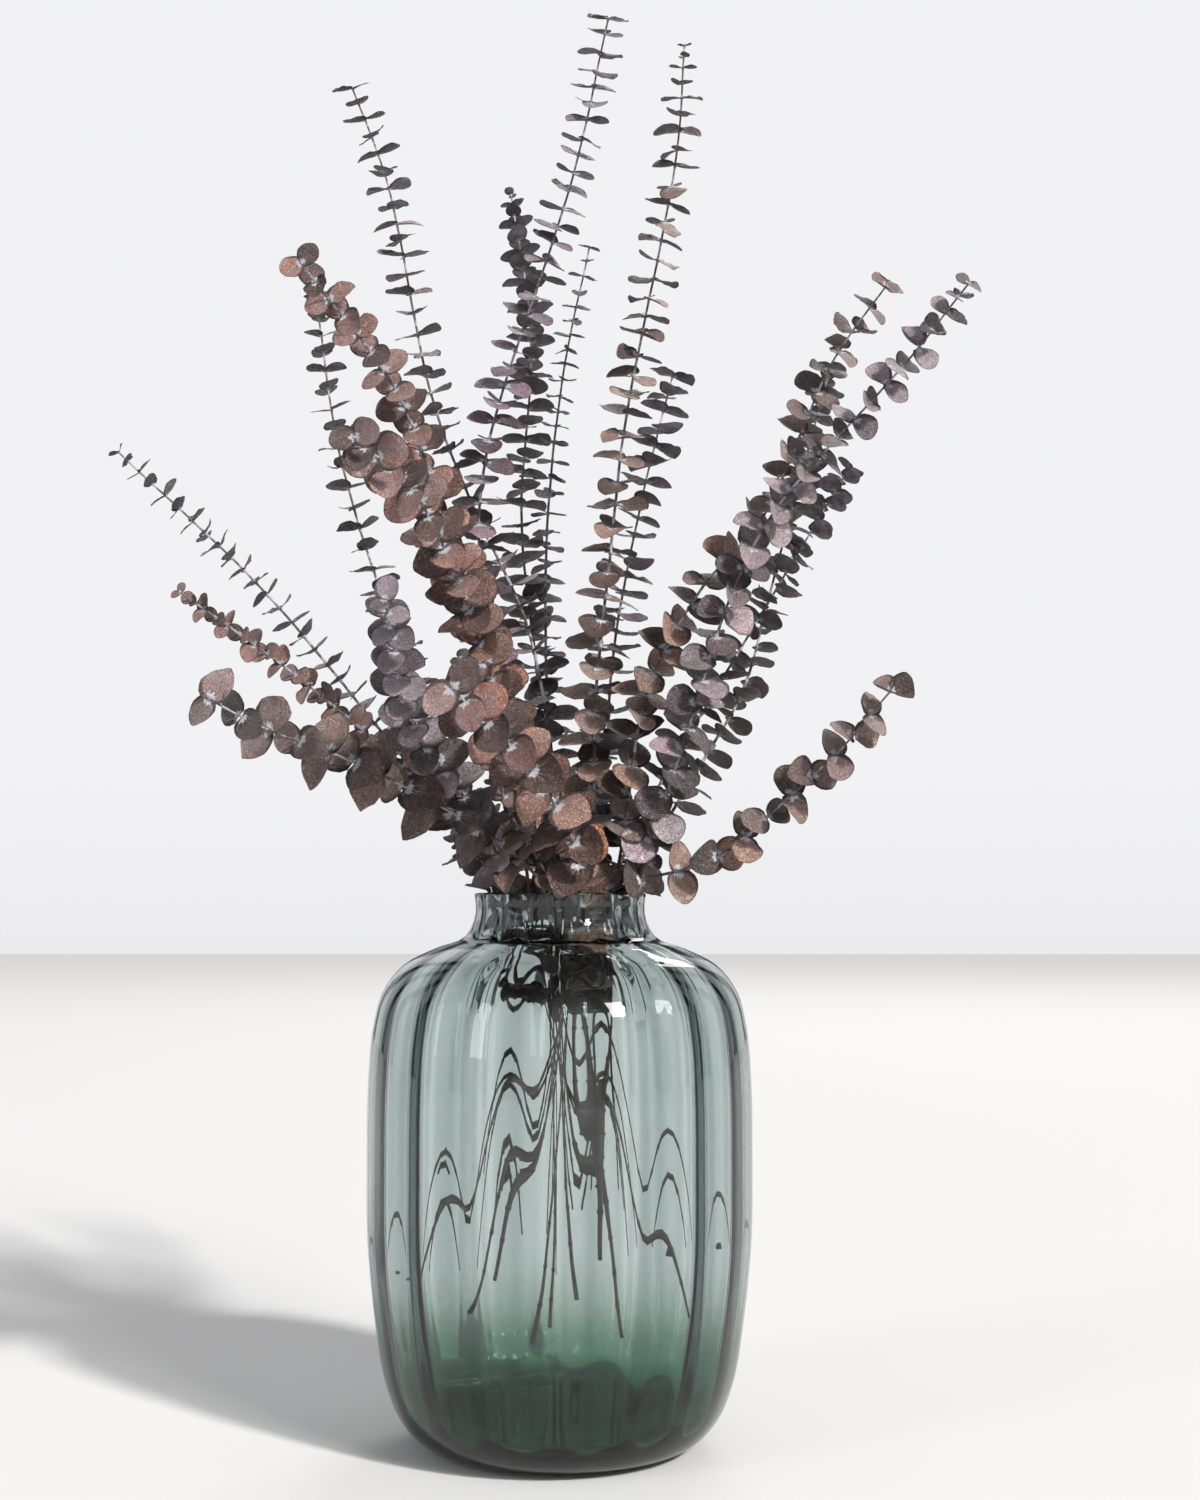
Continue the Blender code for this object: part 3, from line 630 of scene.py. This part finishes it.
def leaf_grid():
    """The leaf's grid: where each point of one side lies, and the triangles and quads of the closed blade."""
    along, across = [0.0], [0.0]
    for row in range(1, LEAF_ROWS):
        for column in range(LEAF_COLUMNS + 1):
            along.append((1 - math.cos(math.pi * row / LEAF_ROWS)) / 2)
            across.append(math.sin(math.pi / 2 * (2 * column / LEAF_COLUMNS - 1)))
    along.append(1.0)
    across.append(0.0)
    count = len(along)
    wide = LEAF_COLUMNS + 1
    rows = [[1 + (row - 1) * wide + column for column in range(wide)] for row in range(1, LEAF_ROWS)]
    upper = []
    for column in range(LEAF_COLUMNS):
        upper.append((0, rows[0][column], rows[0][column + 1]))
        upper.append((count - 1, rows[-1][column + 1], rows[-1][column]))
        for low, high in zip(rows, rows[1:]):
            upper.append((low[column], high[column], high[column + 1], low[column + 1]))
    rim = [0] + [row[0] for row in rows] + [count - 1] + [row[-1] for row in reversed(rows)]
    edge = [(b, a, a + count, b + count) for a, b in zip(rim, rim[1:] + rim[:1])]
    lower = [tuple(k + count for k in reversed(face)) for face in upper]
    return np.array(along), np.array(across), upper + lower + edge


GRID_ALONG, GRID_ACROSS, GRID_FACES = leaf_grid()


def leaf_points(stem, leaf, change, habit, rng):
    """The points of one fine leaf, and what its material needs to know at each of them."""
    start, axis, across, up = (np.array(v) for v in blade_axes(stem, leaf, change, ROOT_START))
    big = leaf.length > BIG_LEAF
    reached = min(1.0, (stem.length - leaf.along) / (TIP_STRETCH * stem.length))
    length = leaf.length * change[2] * (habit.tip_size + (habit.size - habit.tip_size) * reached)

    # The outline: round, with lobes at the root, and with a drip tip where the leaf is big.
    top_power = TOP_POWER + rng.uniform(*TOP_POWER_SPREAD) + (BIG_TOP_POWER if big else 0.0)
    both = ROOT_POWER + top_power
    crest = (ROOT_POWER / both) ** ROOT_POWER * (top_power / both) ** top_power
    half = GRID_ALONG**ROOT_POWER * (1 - GRID_ALONG) ** top_power / crest * LEAF_HALF_WIDTH * leaf.width
    y = half * GRID_ACROSS
    lobe = rng.uniform(*LOBE_SPREAD)
    x = GRID_ALONG - lobe * GRID_ACROSS**4 * np.exp(-((GRID_ALONG / 0.20) ** 2))
    y = y + rng.uniform(*LEAN_SPREAD) * x**2
    rim = np.clip(np.hypot((x - 0.5) / 0.5, y / 0.51), 0, 1)
    angle = np.arctan2(y, x - 0.5)
    if big:
        x = x + TIP_POINT * GRID_ALONG**8 * np.exp(-((y / 0.12) ** 2))

    # How far each point lies above the flat blade: cupped, folded along the middle, wavy, twisted and curled.
    cup = rng.uniform(*CUP_SPREAD) * habit.bent
    fold = rng.uniform(*FOLD_SPREAD) * habit.bent
    warp = rng.uniform(*WARP_SPREAD) * habit.bent
    ripple = rng.choice(RIPPLES)
    curl = rng.uniform(*CURL_SPREAD) * (BIG_CURL if big else 1.0)
    lift = cup * (y**2 + 0.5 * (x - 0.45) ** 2) + fold * (np.sqrt(y**2 + 0.0009) - 0.03)
    lift += ripple * rim**3 * np.sin(3 * angle + rng.uniform(*PHASES))
    lift += 0.6 * ripple * rim**2 * np.sin(7 * angle + rng.uniform(*PHASES))
    lift += warp * x * y
    lift -= leaf.droop * x**2 + curl * np.clip(x - 0.6, 0, 1) ** 2 * 2.5
    middle = start + length * (x[:, None] * axis + y[:, None] * across + lift[:, None] * up)
    thick = LEAF_THICK / 2 * (1 - 0.75 * rim**4)
    points = np.vstack([middle + thick[:, None] * up, middle - thick[:, None] * up])
    blade = np.stack([x, y, np.full_like(x, rng.random())], axis=1)
    return points, np.vstack([blade, blade]), np.concatenate([rim, rim])


def add_attribute(mesh, name, values):
    """Stores a vector at each of the mesh's points."""
    made = mesh.attributes.new(name, "FLOAT_VECTOR", "POINT")
    made.data.foreach_set("vector", np.asarray(values, np.float32).ravel())


def as_object(name, points, faces, material, sharp=None):
    """A new smooth object with these points and faces."""
    mesh = bpy.data.meshes.new(name)
    mesh.from_pydata([tuple(p) for p in points], [], faces)
    mesh.shade_smooth()
    if sharp:
        mesh.set_sharp_from_angle(angle=math.radians(sharp))
    mesh.materials.append(material)
    made = bpy.data.objects.new(name, mesh)
    bpy.context.scene.collection.objects.link(made)
    return made


def dress_leaves(branch, stem, placed, material, rng):
    """All the fine leaves of one branch."""
    points, faces, blade, growth = [], [], [], []
    habit = HABITS.get(branch.name, PLAIN_HABIT)
    count = 0
    for leaf, change in placed:
        own, own_blade, rim = leaf_points(stem, leaf, change, habit, rng)
        points.append(own)
        blade.append(own_blade)
        share = (stem.length - leaf.along) / stem.length
        side = np.repeat([1.0, 0.0], len(own) // 2)
        growth.append(np.stack([np.full(len(own), share), side, rim], axis=1))
        faces += [tuple(k + count for k in face) for face in GRID_FACES]
        count += len(own)
    made = as_object(branch.name + "_leaves", np.vstack(points), faces, material, 40)
    add_attribute(made.data, "blade", np.vstack(blade))
    add_attribute(made.data, "growth", np.vstack(growth))
    return made


def dress_stem(branch, stem, nodes, material, rng):
    """The fine stem of one branch, with a swelling at every leaf pair and at the scars of fallen leaves."""
    scars = []
    along = min(nodes) - SCAR_GAP
    while along > stem.foot + SCAR_GAP / 2:
        scars.append(along)
        along -= SCAR_GAP * rng.uniform(*SCAR_SPREAD)
    joints = np.array(sorted(list(nodes) + scars))
    rows = list(np.arange(stem.foot, stem.length, STEM_ROW_GAP)) + [stem.length]
    for joint in joints:
        rows += [joint + step * NODE_WIDTH for step in NODE_ROWS]
    rows = sorted(row for row in rows if stem.foot <= row <= stem.length)
    phase = rng.uniform(*PHASES)
    points, growth = [], []
    for row in rows:
        point, _, side, other = stem.frame(row)
        near = float(np.abs(joints - row).min())
        fill = float(np.interp(point.z, (STEM_FILL_HEIGHT, VASE_HEIGHT), (STEM_FILL_LOW, STEM_FILL)))
        radius = stem.radius(row) * fill * (1 + NODE_SWELL * math.exp(-((near / NODE_WIDTH) ** 2)))
        sway = STEM_SWAY * radius * math.sin(row / SWAY_LENGTH + phase)
        for k in range(STEM_SIDES):
            angle = 2 * math.pi * k / STEM_SIDES
            reach = radius * (1 + STEM_UNEVEN * math.sin(3 * angle + row / UNEVEN_LENGTH + phase))
            points.append(point + side * (math.cos(angle) * reach + sway) + other * math.sin(angle) * reach)
            growth.append(((stem.length - row) / stem.length, math.exp(-near / NODE_REACH), k / STEM_SIDES))
    faces = [tuple(reversed(range(STEM_SIDES)))]
    faces += tube_faces(len(rows), STEM_SIDES)
    faces.append(tuple(range(len(points) - STEM_SIDES, len(points))))
    made = as_object(branch.name + "_stem", points, faces, material, 60)
    add_attribute(made.data, "growth", growth)
    return made


class Nodes:
    """A short way to write the nodes of a material or of the world."""

    def __init__(self, owner):
        owner.use_nodes = True
        self.owner = owner
        self.tree = owner.node_tree
        self.shader = self.tree.nodes.get("Principled BSDF") or self.tree.nodes["Background"]

    def set(self, **inputs):
        """Sets inputs of the shader, whose names have spaces where these have underscores."""
        for name, value in inputs.items():
            self.put(self.shader.inputs[name.replace("_", " ")], value)

    def put(self, socket, value):
        """Sets a socket to a plain value, or links it to another node's output."""
        if isinstance(value, bpy.types.NodeSocket):
            self.tree.links.new(value, socket)
        else:
            socket.default_value = value

    def node(self, kind, inputs=(), **settings):
        """A new node with its settings and inputs."""
        made = self.tree.nodes.new(kind)
        for key, value in settings.items():
            setattr(made, key, value)
        for key, value in dict(inputs).items():
            self.put(made.inputs[key], value)
        return made

    def math(self, operation, a, b=0.0, c=0.0, clamp=False):
        """One step of arithmetic."""
        made = self.node("ShaderNodeMath", {0: a, 1: b, 2: c}, operation=operation, use_clamp=clamp)
        return made.outputs[0]

    def ramp(self, value, low, high, to_low=0.0, to_high=1.0):
        """Maps a value smoothly from one range to another."""
        inputs = {"Value": value, "From Min": low, "From Max": high, "To Min": to_low, "To Max": to_high}
        return self.node("ShaderNodeMapRange", inputs, interpolation_type="SMOOTHSTEP").outputs[0]

    def mix(self, share, a, b):
        """Mixes two colours."""
        made = self.node("ShaderNodeMix", data_type="RGBA")
        self.put(made.inputs[0], share)
        for key, value in ((6, a), (7, b)):
            self.put(made.inputs[key], value if isinstance(value, bpy.types.NodeSocket) else (*value, 1.0))
        return made.outputs[2]

    def noise(self, vector, scale, detail=3.0, roughness=0.55):
        """Soft noise from 0 to 1."""
        inputs = {"Vector": vector, "Scale": scale, "Detail": detail, "Roughness": roughness}
        return self.node("ShaderNodeTexNoise", inputs).outputs[0]

    def edges(self, vector, scale):
        """The distance to the nearest edge of a net of cells."""
        inputs = {"Vector": vector, "Scale": scale}
        return self.node("ShaderNodeTexVoronoi", inputs, feature="DISTANCE_TO_EDGE").outputs[0]

    def attribute(self, name):
        """The three parts of a stored vector."""
        return self.parts(self.node("ShaderNodeAttribute", attribute_name=name).outputs["Vector"])

    def parts(self, vector):
        """The three values of a vector."""
        return self.node("ShaderNodeSeparateXYZ", {"Vector": vector}).outputs

    def vector(self, x, y, z):
        """A vector from three values."""
        return self.node("ShaderNodeCombineXYZ", {"X": x, "Y": y, "Z": z}).outputs[0]

    def place(self):
        """Where the point lies in the object's own directions."""
        return self.node("ShaderNodeTexCoord").outputs["Object"]

    def bump(self, height, strength, distance):
        """Small relief on the surface."""
        inputs = {"Height": height, "Strength": strength, "Distance": distance}
        self.set(Normal=self.node("ShaderNodeBump", inputs).outputs[0])


# upper, blotch and fleck: the ground, its darker patches and its pale specks.
# net: the veins. under: the underside, darkened with painted shade.
LeafLook = namedtuple("LeafLook", "upper blotch fleck net under")

LOOKS = {
    "rust": LeafLook((0.310, 0.152, 0.112), (0.185, 0.084, 0.062), (0.62, 0.42, 0.36), (0.045, 0.022, 0.020),
                     (0.062, 0.030, 0.027)),
    "plum": LeafLook((0.190, 0.116, 0.136), (0.088, 0.044, 0.054), (0.46, 0.37, 0.42), (0.028, 0.014, 0.018),
                     (0.052, 0.024, 0.028)),
    "mauve": LeafLook((0.300, 0.228, 0.238), (0.175, 0.130, 0.138), (0.60, 0.51, 0.54), (0.062, 0.045, 0.052),
                      (0.090, 0.070, 0.076)),
    "brown": LeafLook((0.265, 0.172, 0.140), (0.146, 0.090, 0.074), (0.52, 0.38, 0.33), (0.042, 0.028, 0.025),
                      (0.060, 0.042, 0.037)),
}
BLOOM_COLOUR = (0.92, 0.92, 0.98)
SILVER_COLOUR = (0.34, 0.31, 0.36)
BARK_COLOURS = ((0.040, 0.026, 0.024), (0.115, 0.078, 0.066))
WAX_COLOURS = ((0.30, 0.27, 0.31), (0.60, 0.57, 0.63))


def leaf_material(tint):
    """Dry leaf: a net of veins fanning out from the root, pale bloom at the stem and an underside darkened
    with painted shade.
    """
    look = LOOKS[tint]
    n = Nodes(bpy.data.materials.new("leaf_" + tint))
    x, y, seed = n.attribute("blade")
    share, side, rim = n.attribute("growth")
    reach = n.math("SQRT", n.math("ADD", n.math("MULTIPLY", x, x), n.math("MULTIPLY", y, y)))
    angle = n.math("ARCTAN2", y, n.math("ADD", x, 0.06))
    shifted = n.math("MULTIPLY", seed, 37.0)
    flat = n.vector(x, y, shifted)

    # The veins: a coarse and a fine net that fan out from the root, and the midrib.
    wander = n.math("MULTIPLY", n.math("SUBTRACT", n.noise(flat, 5.0), 0.5), 0.5)
    fan = n.vector(n.math("ADD", n.math("MULTIPLY", angle, 2.6), wander),
                   n.math("ADD", n.math("MULTIPLY", reach, 2.6), wander), shifted)
    large = n.ramp(n.edges(fan, 2.0), 0.0, 0.10, 1.0, 0.0)
    small = n.ramp(n.edges(fan, 5.5), 0.0, 0.15, 1.0, 0.0)
    midrib = n.ramp(n.math("ABSOLUTE", y), 0.0, 0.018, 1.0, 0.0)
    midrib = n.math("MULTIPLY", midrib, n.ramp(x, 0.2, 0.85, 0.8, 0.0))
    veins = n.math("MAXIMUM", n.math("MULTIPLY", large, 0.85), n.math("MULTIPLY", small, 0.8))
    veins = n.math("MAXIMUM", veins, midrib)
    worn = n.math("MULTIPLY", veins, n.ramp(n.noise(flat, 6.0), 0.30, 0.62, 0.35, 1.0))

    # The upper side, the underside darkened with painted shade, and the silver of the young leaves.
    grain = n.noise(flat, 16.0, 4.0, 0.8)
    patchy = n.ramp(n.noise(flat, 3.2), 0.35, 0.66)
    body = n.mix(patchy, look.upper, look.blotch)
    body = n.mix(n.ramp(grain, 0.47, 0.60, 0.0, 0.85), body, look.fleck)
    pale_net = n.ramp(seed, 0.35, 0.50)
    net = n.mix(pale_net, look.net, look.fleck)
    body = n.mix(n.math("MULTIPLY", worn, n.math("MULTIPLY_ADD", pale_net, -0.25, 0.90)), body, net)
    # Painted shade: the underside's colours are several times darker than the upper side's.
    under = n.mix(n.math("MULTIPLY", veins, 0.3), look.under, look.net)
    under = n.mix(n.ramp(n.noise(flat, 4.0), 0.4, 0.8, 0.0, 0.6), under, look.blotch)
    colour = n.mix(side, under, body)
    silver = n.math("MULTIPLY", n.ramp(share, 0.0, 0.35, 0.60, 0.0), n.ramp(n.noise(flat, 2.5), 0.2, 0.8))
    colour = n.mix(silver, colour, SILVER_COLOUR)
    value = n.ramp(seed, 0.0, 1.0, 0.38, 1.16)
    saturation = n.ramp(n.noise(shifted, 1.0), 0.3, 0.7, 0.9, 1.4)
    inputs = {"Color": colour, "Value": value, "Saturation": saturation}
    colour = n.node("ShaderNodeHueSaturation", inputs).outputs[0]

    # Pale streaks and the waxy bloom round the stem, and a dark rim.
    rays = n.noise(n.vector(n.math("MULTIPLY", angle, 3.2), shifted, 0.0), 1.0, 2.0)
    streaks = n.vector(n.math("MULTIPLY", angle, 9.0), shifted, n.math("MULTIPLY", reach, 1.5))
    streaks = n.ramp(n.noise(streaks, 1.0, 2.0), 0.50, 0.62)
    streaks = n.math("MULTIPLY", streaks, n.ramp(reach, 0.18, 0.60, 0.65, 0.0))
    colour = n.mix(n.math("MULTIPLY", streaks, n.math("MULTIPLY_ADD", side, 0.7, 0.1)), colour, look.fleck)
    bloom_edge = n.math("ADD", n.math("MULTIPLY", rays, 0.34), n.math("MULTIPLY", grain, 0.06))
    bloom = n.ramp(n.math("SUBTRACT", reach, bloom_edge), -0.05, 0.02, 1.0, 0.0)
    bloom = n.math("MULTIPLY", bloom, n.math("MULTIPLY_ADD", side, 0.60, 0.35), clamp=True)
    colour = n.mix(bloom, colour, BLOOM_COLOUR)
    edge_dark = n.ramp(rim, 0.90, 1.0, 0.0, 0.8)
    colour = n.mix(edge_dark, colour, tuple(0.3 * c for c in look.under))
    n.set(Base_Color=colour, Roughness=n.ramp(grain, 0.2, 0.8, 0.40, 0.62))
    n.set(Specular_IOR_Level=0.5, Sheen_Weight=0.08, Sheen_Roughness=0.45)
    height = n.math("SUBTRACT", n.math("MULTIPLY", grain, 0.5), n.math("MULTIPLY", veins, 0.9))
    n.bump(height, 1.0, 0.8 * MM)
    return n.owner


def stem_material():
    """Dry stem: dark in the vase, with a patchy pale bloom above that is thickest at the leaf pairs."""
    n = Nodes(bpy.data.materials.new("stem_bark"))
    near_node = n.attribute("growth")[1]
    place = n.place()
    height = n.parts(place)[2]
    stretched = n.node("ShaderNodeMapping", {"Vector": place, "Scale": (1.0, 1.0, 0.25)}).outputs[0]
    patches = n.noise(stretched, 260.0, 4.0, 0.6)
    grain = n.noise(stretched, 1500.0, 3.0)
    bark = n.mix(patches, *BARK_COLOURS)
    wax = n.mix(grain, *WAX_COLOURS)
    above = n.ramp(height, VASE_HEIGHT - 30 * MM, VASE_HEIGHT + 90 * MM)
    cover = n.ramp(n.noise(place, 95.0, 3.0), 0.48, 0.60)
    cover = n.math("MULTIPLY", cover, n.math("MULTIPLY_ADD", above, 0.88, 0.04))
    collar = n.math("MULTIPLY", n.math("MULTIPLY", near_node, above), n.ramp(patches, 0.35, 0.55, 0.35, 0.95))
    cover = n.math("MAXIMUM", cover, collar)
    n.set(Base_Color=n.mix(cover, bark, wax), Roughness=n.ramp(patches, 0.2, 0.8, 0.50, 0.75))
    n.bump(n.math("ADD", patches, n.math("MULTIPLY", grain, 0.5)), 0.5, 0.4 * MM)
    return n.owner


def glass_material():
    """Clear blue-green glass whose colour deepens with its thickness, with painted shade darkening it towards
    the foot.
    """
    n = Nodes(bpy.data.materials.new("green_glass"))
    # Painted shade: the base colour darkens from the clear tint to a deep green towards the foot.
    height = n.ramp(n.parts(n.place())[2], GLASS_FOOT_SHADE_HEIGHT, HEEL_HEIGHT)
    n.set(Base_Color=n.mix(height, GLASS_FOOT_SHADE, GLASS_TINT))
    n.set(Roughness=0.0, IOR=1.5, Transmission_Weight=1.0)
    inside = n.node("ShaderNodeVolumeAbsorption", {"Color": GLASS_COLOUR, "Density": GLASS_DENSITY})
    n.put(n.tree.nodes["Material Output"].inputs["Volume"], inside.outputs[0])
    return n.owner


def vase_section():
    """The fine section as (radius, height, rib depth) rows, from the foot over the rim to the floor."""
    fine = smooth_path([(r * MM, 0.0, z * MM) for r, z in OUTER_POINTS], VASE_ROW_GAP)
    radius, height = fine[:, 0], fine[:, 2]
    rows = [(r, z, OUTER_RIB_DEPTH * min(1.0, z / OUTER_RIB_HEIGHT)) for r, z in zip(radius, height)]
    for degrees in (30, 60, 90, 120, 150):
        turn = math.radians(degrees)
        reach = radius[-1] - LIP_RADIUS + LIP_RADIUS * math.cos(turn)
        rows.append((reach, VASE_HEIGHT + LIP_RISE * math.sin(turn), 0.0))
    for r, z in zip(radius[::-1], height[::-1]):
        if z < FLOOR_THICK + FLOOR_BEND:
            break
        rib = rib_depth(z) * min(1.0, (VASE_HEIGHT + RIB_FADE / 4 - z) / RIB_FADE)
        rows.append((inner_radius(z), z, rib))
    edge_r, edge_z, edge_rib = rows[-1]
    for share in (0.2, 0.4, 0.6, 0.8, 1.0):
        turn = share * math.pi / 2
        reach = edge_r - FLOOR_BEND * (1 - math.cos(turn))
        rows.append((reach, edge_z - (edge_z - FLOOR_THICK) * math.sin(turn), edge_rib * (1 - share)))
    for share in (0.75, 0.5, 0.25):
        last = rows[-1][0]
        rows.append((last * share / (share + 0.25), FLOOR_THICK + FLOOR_DOME * (1 - share), 0.0))
    return rows


def dress_vase(material):
    """The fine vase: the section turned round its axis, with round ribs on the inner wall."""
    points = []
    rows = vase_section()
    for radius, height, rib in rows:
        for k in range(VASE_AROUND):
            angle = 2 * math.pi * k / VASE_AROUND
            wave = -math.cos(RIB_COUNT * angle)
            reach = radius + rib / 2 * wave
            points.append((reach * math.cos(angle), reach * math.sin(angle), height))
    faces = tube_faces(len(rows), VASE_AROUND)
    under, floor = len(points), len(points) + 1
    points += [(0.0, 0.0, 0.0), (0.0, 0.0, FLOOR_THICK + FLOOR_DOME)]
    last = (len(rows) - 1) * VASE_AROUND
    for k in range(VASE_AROUND):
        after = (k + 1) % VASE_AROUND
        faces.append((under, after, k))
        faces.append((floor, last + k, last + after))
    return as_object("vase_glass", points, faces, material, 50)


def keep(piece, node):
    """Joins a piece to the frame."""
    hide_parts(node)
    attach(piece, "root")


def grow_branches(vase_tree):
    """The stem of every branch, the leaves that the frame holds and those between them."""
    routes = push_apart([first_route(branch) for branch in BRANCHES])
    stems, kept, added = {}, {}, {}
    for number, (branch, route) in enumerate(zip(BRANCHES, routes)):
        stem = Stem(route)
        stem.rest_on_wall(vase_tree)
        grown = leaves_of(branch, stem, random.Random(FIRST_SEED + number))
        kept[branch.name] = [leaf for leaf in grown if leaf.order % KEPT_EVERY in KEPT_PAIRS]
        added[branch.name] = [leaf for leaf in grown if leaf.order % KEPT_EVERY not in KEPT_PAIRS]
        stem.set_places(sorted({leaf.along for leaf in kept[branch.name]}))
        stems[branch.name] = stem
    return stems, kept, added


def dress_object():
    """Dresses the vase and every branch."""
    cad_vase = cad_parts["vase"].data
    vase_tree = BVHTree.FromPolygons(
        [v.co.copy() for v in cad_vase.vertices], [tuple(p.vertices) for p in cad_vase.polygons]
    )
    keep(dress_vase(glass_material()), "vase")
    stems, kept, added = grow_branches(vase_tree)
    neighbours = Neighbours(stems, vase_tree)
    placed = {name: place_leaves(kept[name], stems[name], name, neighbours) for name in stems}
    more = {name: place_leaves(added[name], stems[name], name, neighbours) for name in stems}
    low = {}
    for number, branch in enumerate(BRANCHES):
        lowest = min(leaf.along for leaf in kept[branch.name] + added[branch.name])
        wanted = neck_leaves(branch, stems[branch.name], lowest, random.Random(NECK_SEED + number))
        low[branch.name] = place_leaves(wanted, stems[branch.name], branch.name, neighbours)
    bark = stem_material()
    tints = {tint: leaf_material(tint) for tint in LOOKS}
    for number, branch in enumerate(BRANCHES):
        stem = stems[branch.name]
        rng = random.Random(SHAPE_SEED + number)
        bearing = kept[branch.name] + added[branch.name] + [leaf for leaf, _ in low[branch.name]]
        nodes = sorted({leaf.along for leaf in bearing})
        every = placed[branch.name] + more[branch.name] + low[branch.name]
        leaves = dress_leaves(branch, stem, every, tints[branch.tint], rng)
        keep(leaves, branch.name)
        keep(dress_stem(branch, stem, nodes, bark, rng), branch.name)


def area_light(name, place, target, size, power, colour):
    """A soft oblong light that looks at a point."""
    lamp = bpy.data.lights.new(name, "AREA")
    lamp.shape = "RECTANGLE"
    lamp.size, lamp.size_y = size
    lamp.energy = power
    lamp.color = colour
    made = bpy.data.objects.new(name, lamp)
    made.location = place
    made.rotation_euler = (Vector(target) - Vector(place)).to_track_quat("-Z", "Y").to_euler()
    bpy.context.scene.collection.objects.link(made)


def surroundings():
    """An even pale backdrop. In the glass it shows as a ring of tall soft panels with gaps between them."""
    n = Nodes(bpy.data.worlds.new("surroundings"))
    x, y, z = n.parts(n.node("ShaderNodeTexCoord").outputs["Generated"])
    path = n.node("ShaderNodeLightPath").outputs
    azimuth = n.math("ARCTAN2", x, y)
    wave = n.math("COSINE", n.math("MULTIPLY", azimuth, PANEL_COUNT))
    panel = n.math("MULTIPLY", n.math("ADD", wave, PANEL_SHIFT), PANEL_SLOPE, clamp=True)
    low = n.math("MULTIPLY", n.math("SUBTRACT", PANEL_TOP, z), PANEL_FADE, clamp=True)
    bright = n.math("MULTIPLY", n.math("MULTIPLY", panel, low), PANEL_BRIGHT)
    seen_in_glass = n.math("ADD", bright, PANEL_GAP)
    other = n.math("SUBTRACT", seen_in_glass, AMBIENT)
    other = n.math("MULTIPLY", other, n.math("SUBTRACT", 1.0, path["Is Diffuse Ray"]))
    other = n.math("ADD", other, AMBIENT)
    rise = n.math("MULTIPLY", n.math("ADD", z, HORIZON_START), HORIZON_SLOPE, clamp=True)
    pale = n.math("ADD", n.math("MULTIPLY", rise, BACKDROP - BACKDROP_LOW), BACKDROP_LOW)
    backdrop = n.math("MULTIPLY", n.math("SUBTRACT", pale, other), path["Is Camera Ray"])
    n.set(Color=SURROUNDINGS_COLOUR, Strength=n.math("ADD", other, backdrop))
    return n.owner


def stage():
    """The pale floor, the even pale surroundings, the soft lights and the photograph's camera."""
    scene = bpy.context.scene
    n = Nodes(bpy.data.materials.new("pale_floor"))
    n.set(Base_Color=FLOOR_COLOUR, Roughness=0.9, Specular_IOR_Level=0.0)
    corners = [(x * FLOOR_REACH, y * FLOOR_REACH, 0) for x, y in ((-1, -1), (1, -1), (1, 1), (-1, 1))]
    floor = as_object("floor", corners, [(0, 1, 2, 3)], n.owner)

    scene.world = surroundings()
    sun = bpy.data.lights.new("sun", "SUN")
    sun.energy = SUN_STRENGTH
    sun.angle = math.radians(SUN_SPREAD)
    sun.color = SUN_COLOUR
    sunlight = bpy.data.objects.new("sun", sun)
    sunlight.rotation_euler = Vector(SUN_FROM).to_track_quat("Z", "Y").to_euler()
    scene.collection.objects.link(sunlight)
    for light in LIGHTS:
        area_light(*light)

    camera = bpy.data.objects.new("camera", bpy.data.cameras.new("camera"))
    camera.data.lens = CAMERA_LENS
    camera.data.sensor_width = 36
    camera.location = CAMERA_PLACE
    camera.rotation_euler = (math.radians(90 + CAMERA_TILT), 0, 0)
    scene.collection.objects.link(camera)
    scene.camera = camera
    scene.view_settings.view_transform = "Standard"


stage()
dress_object()
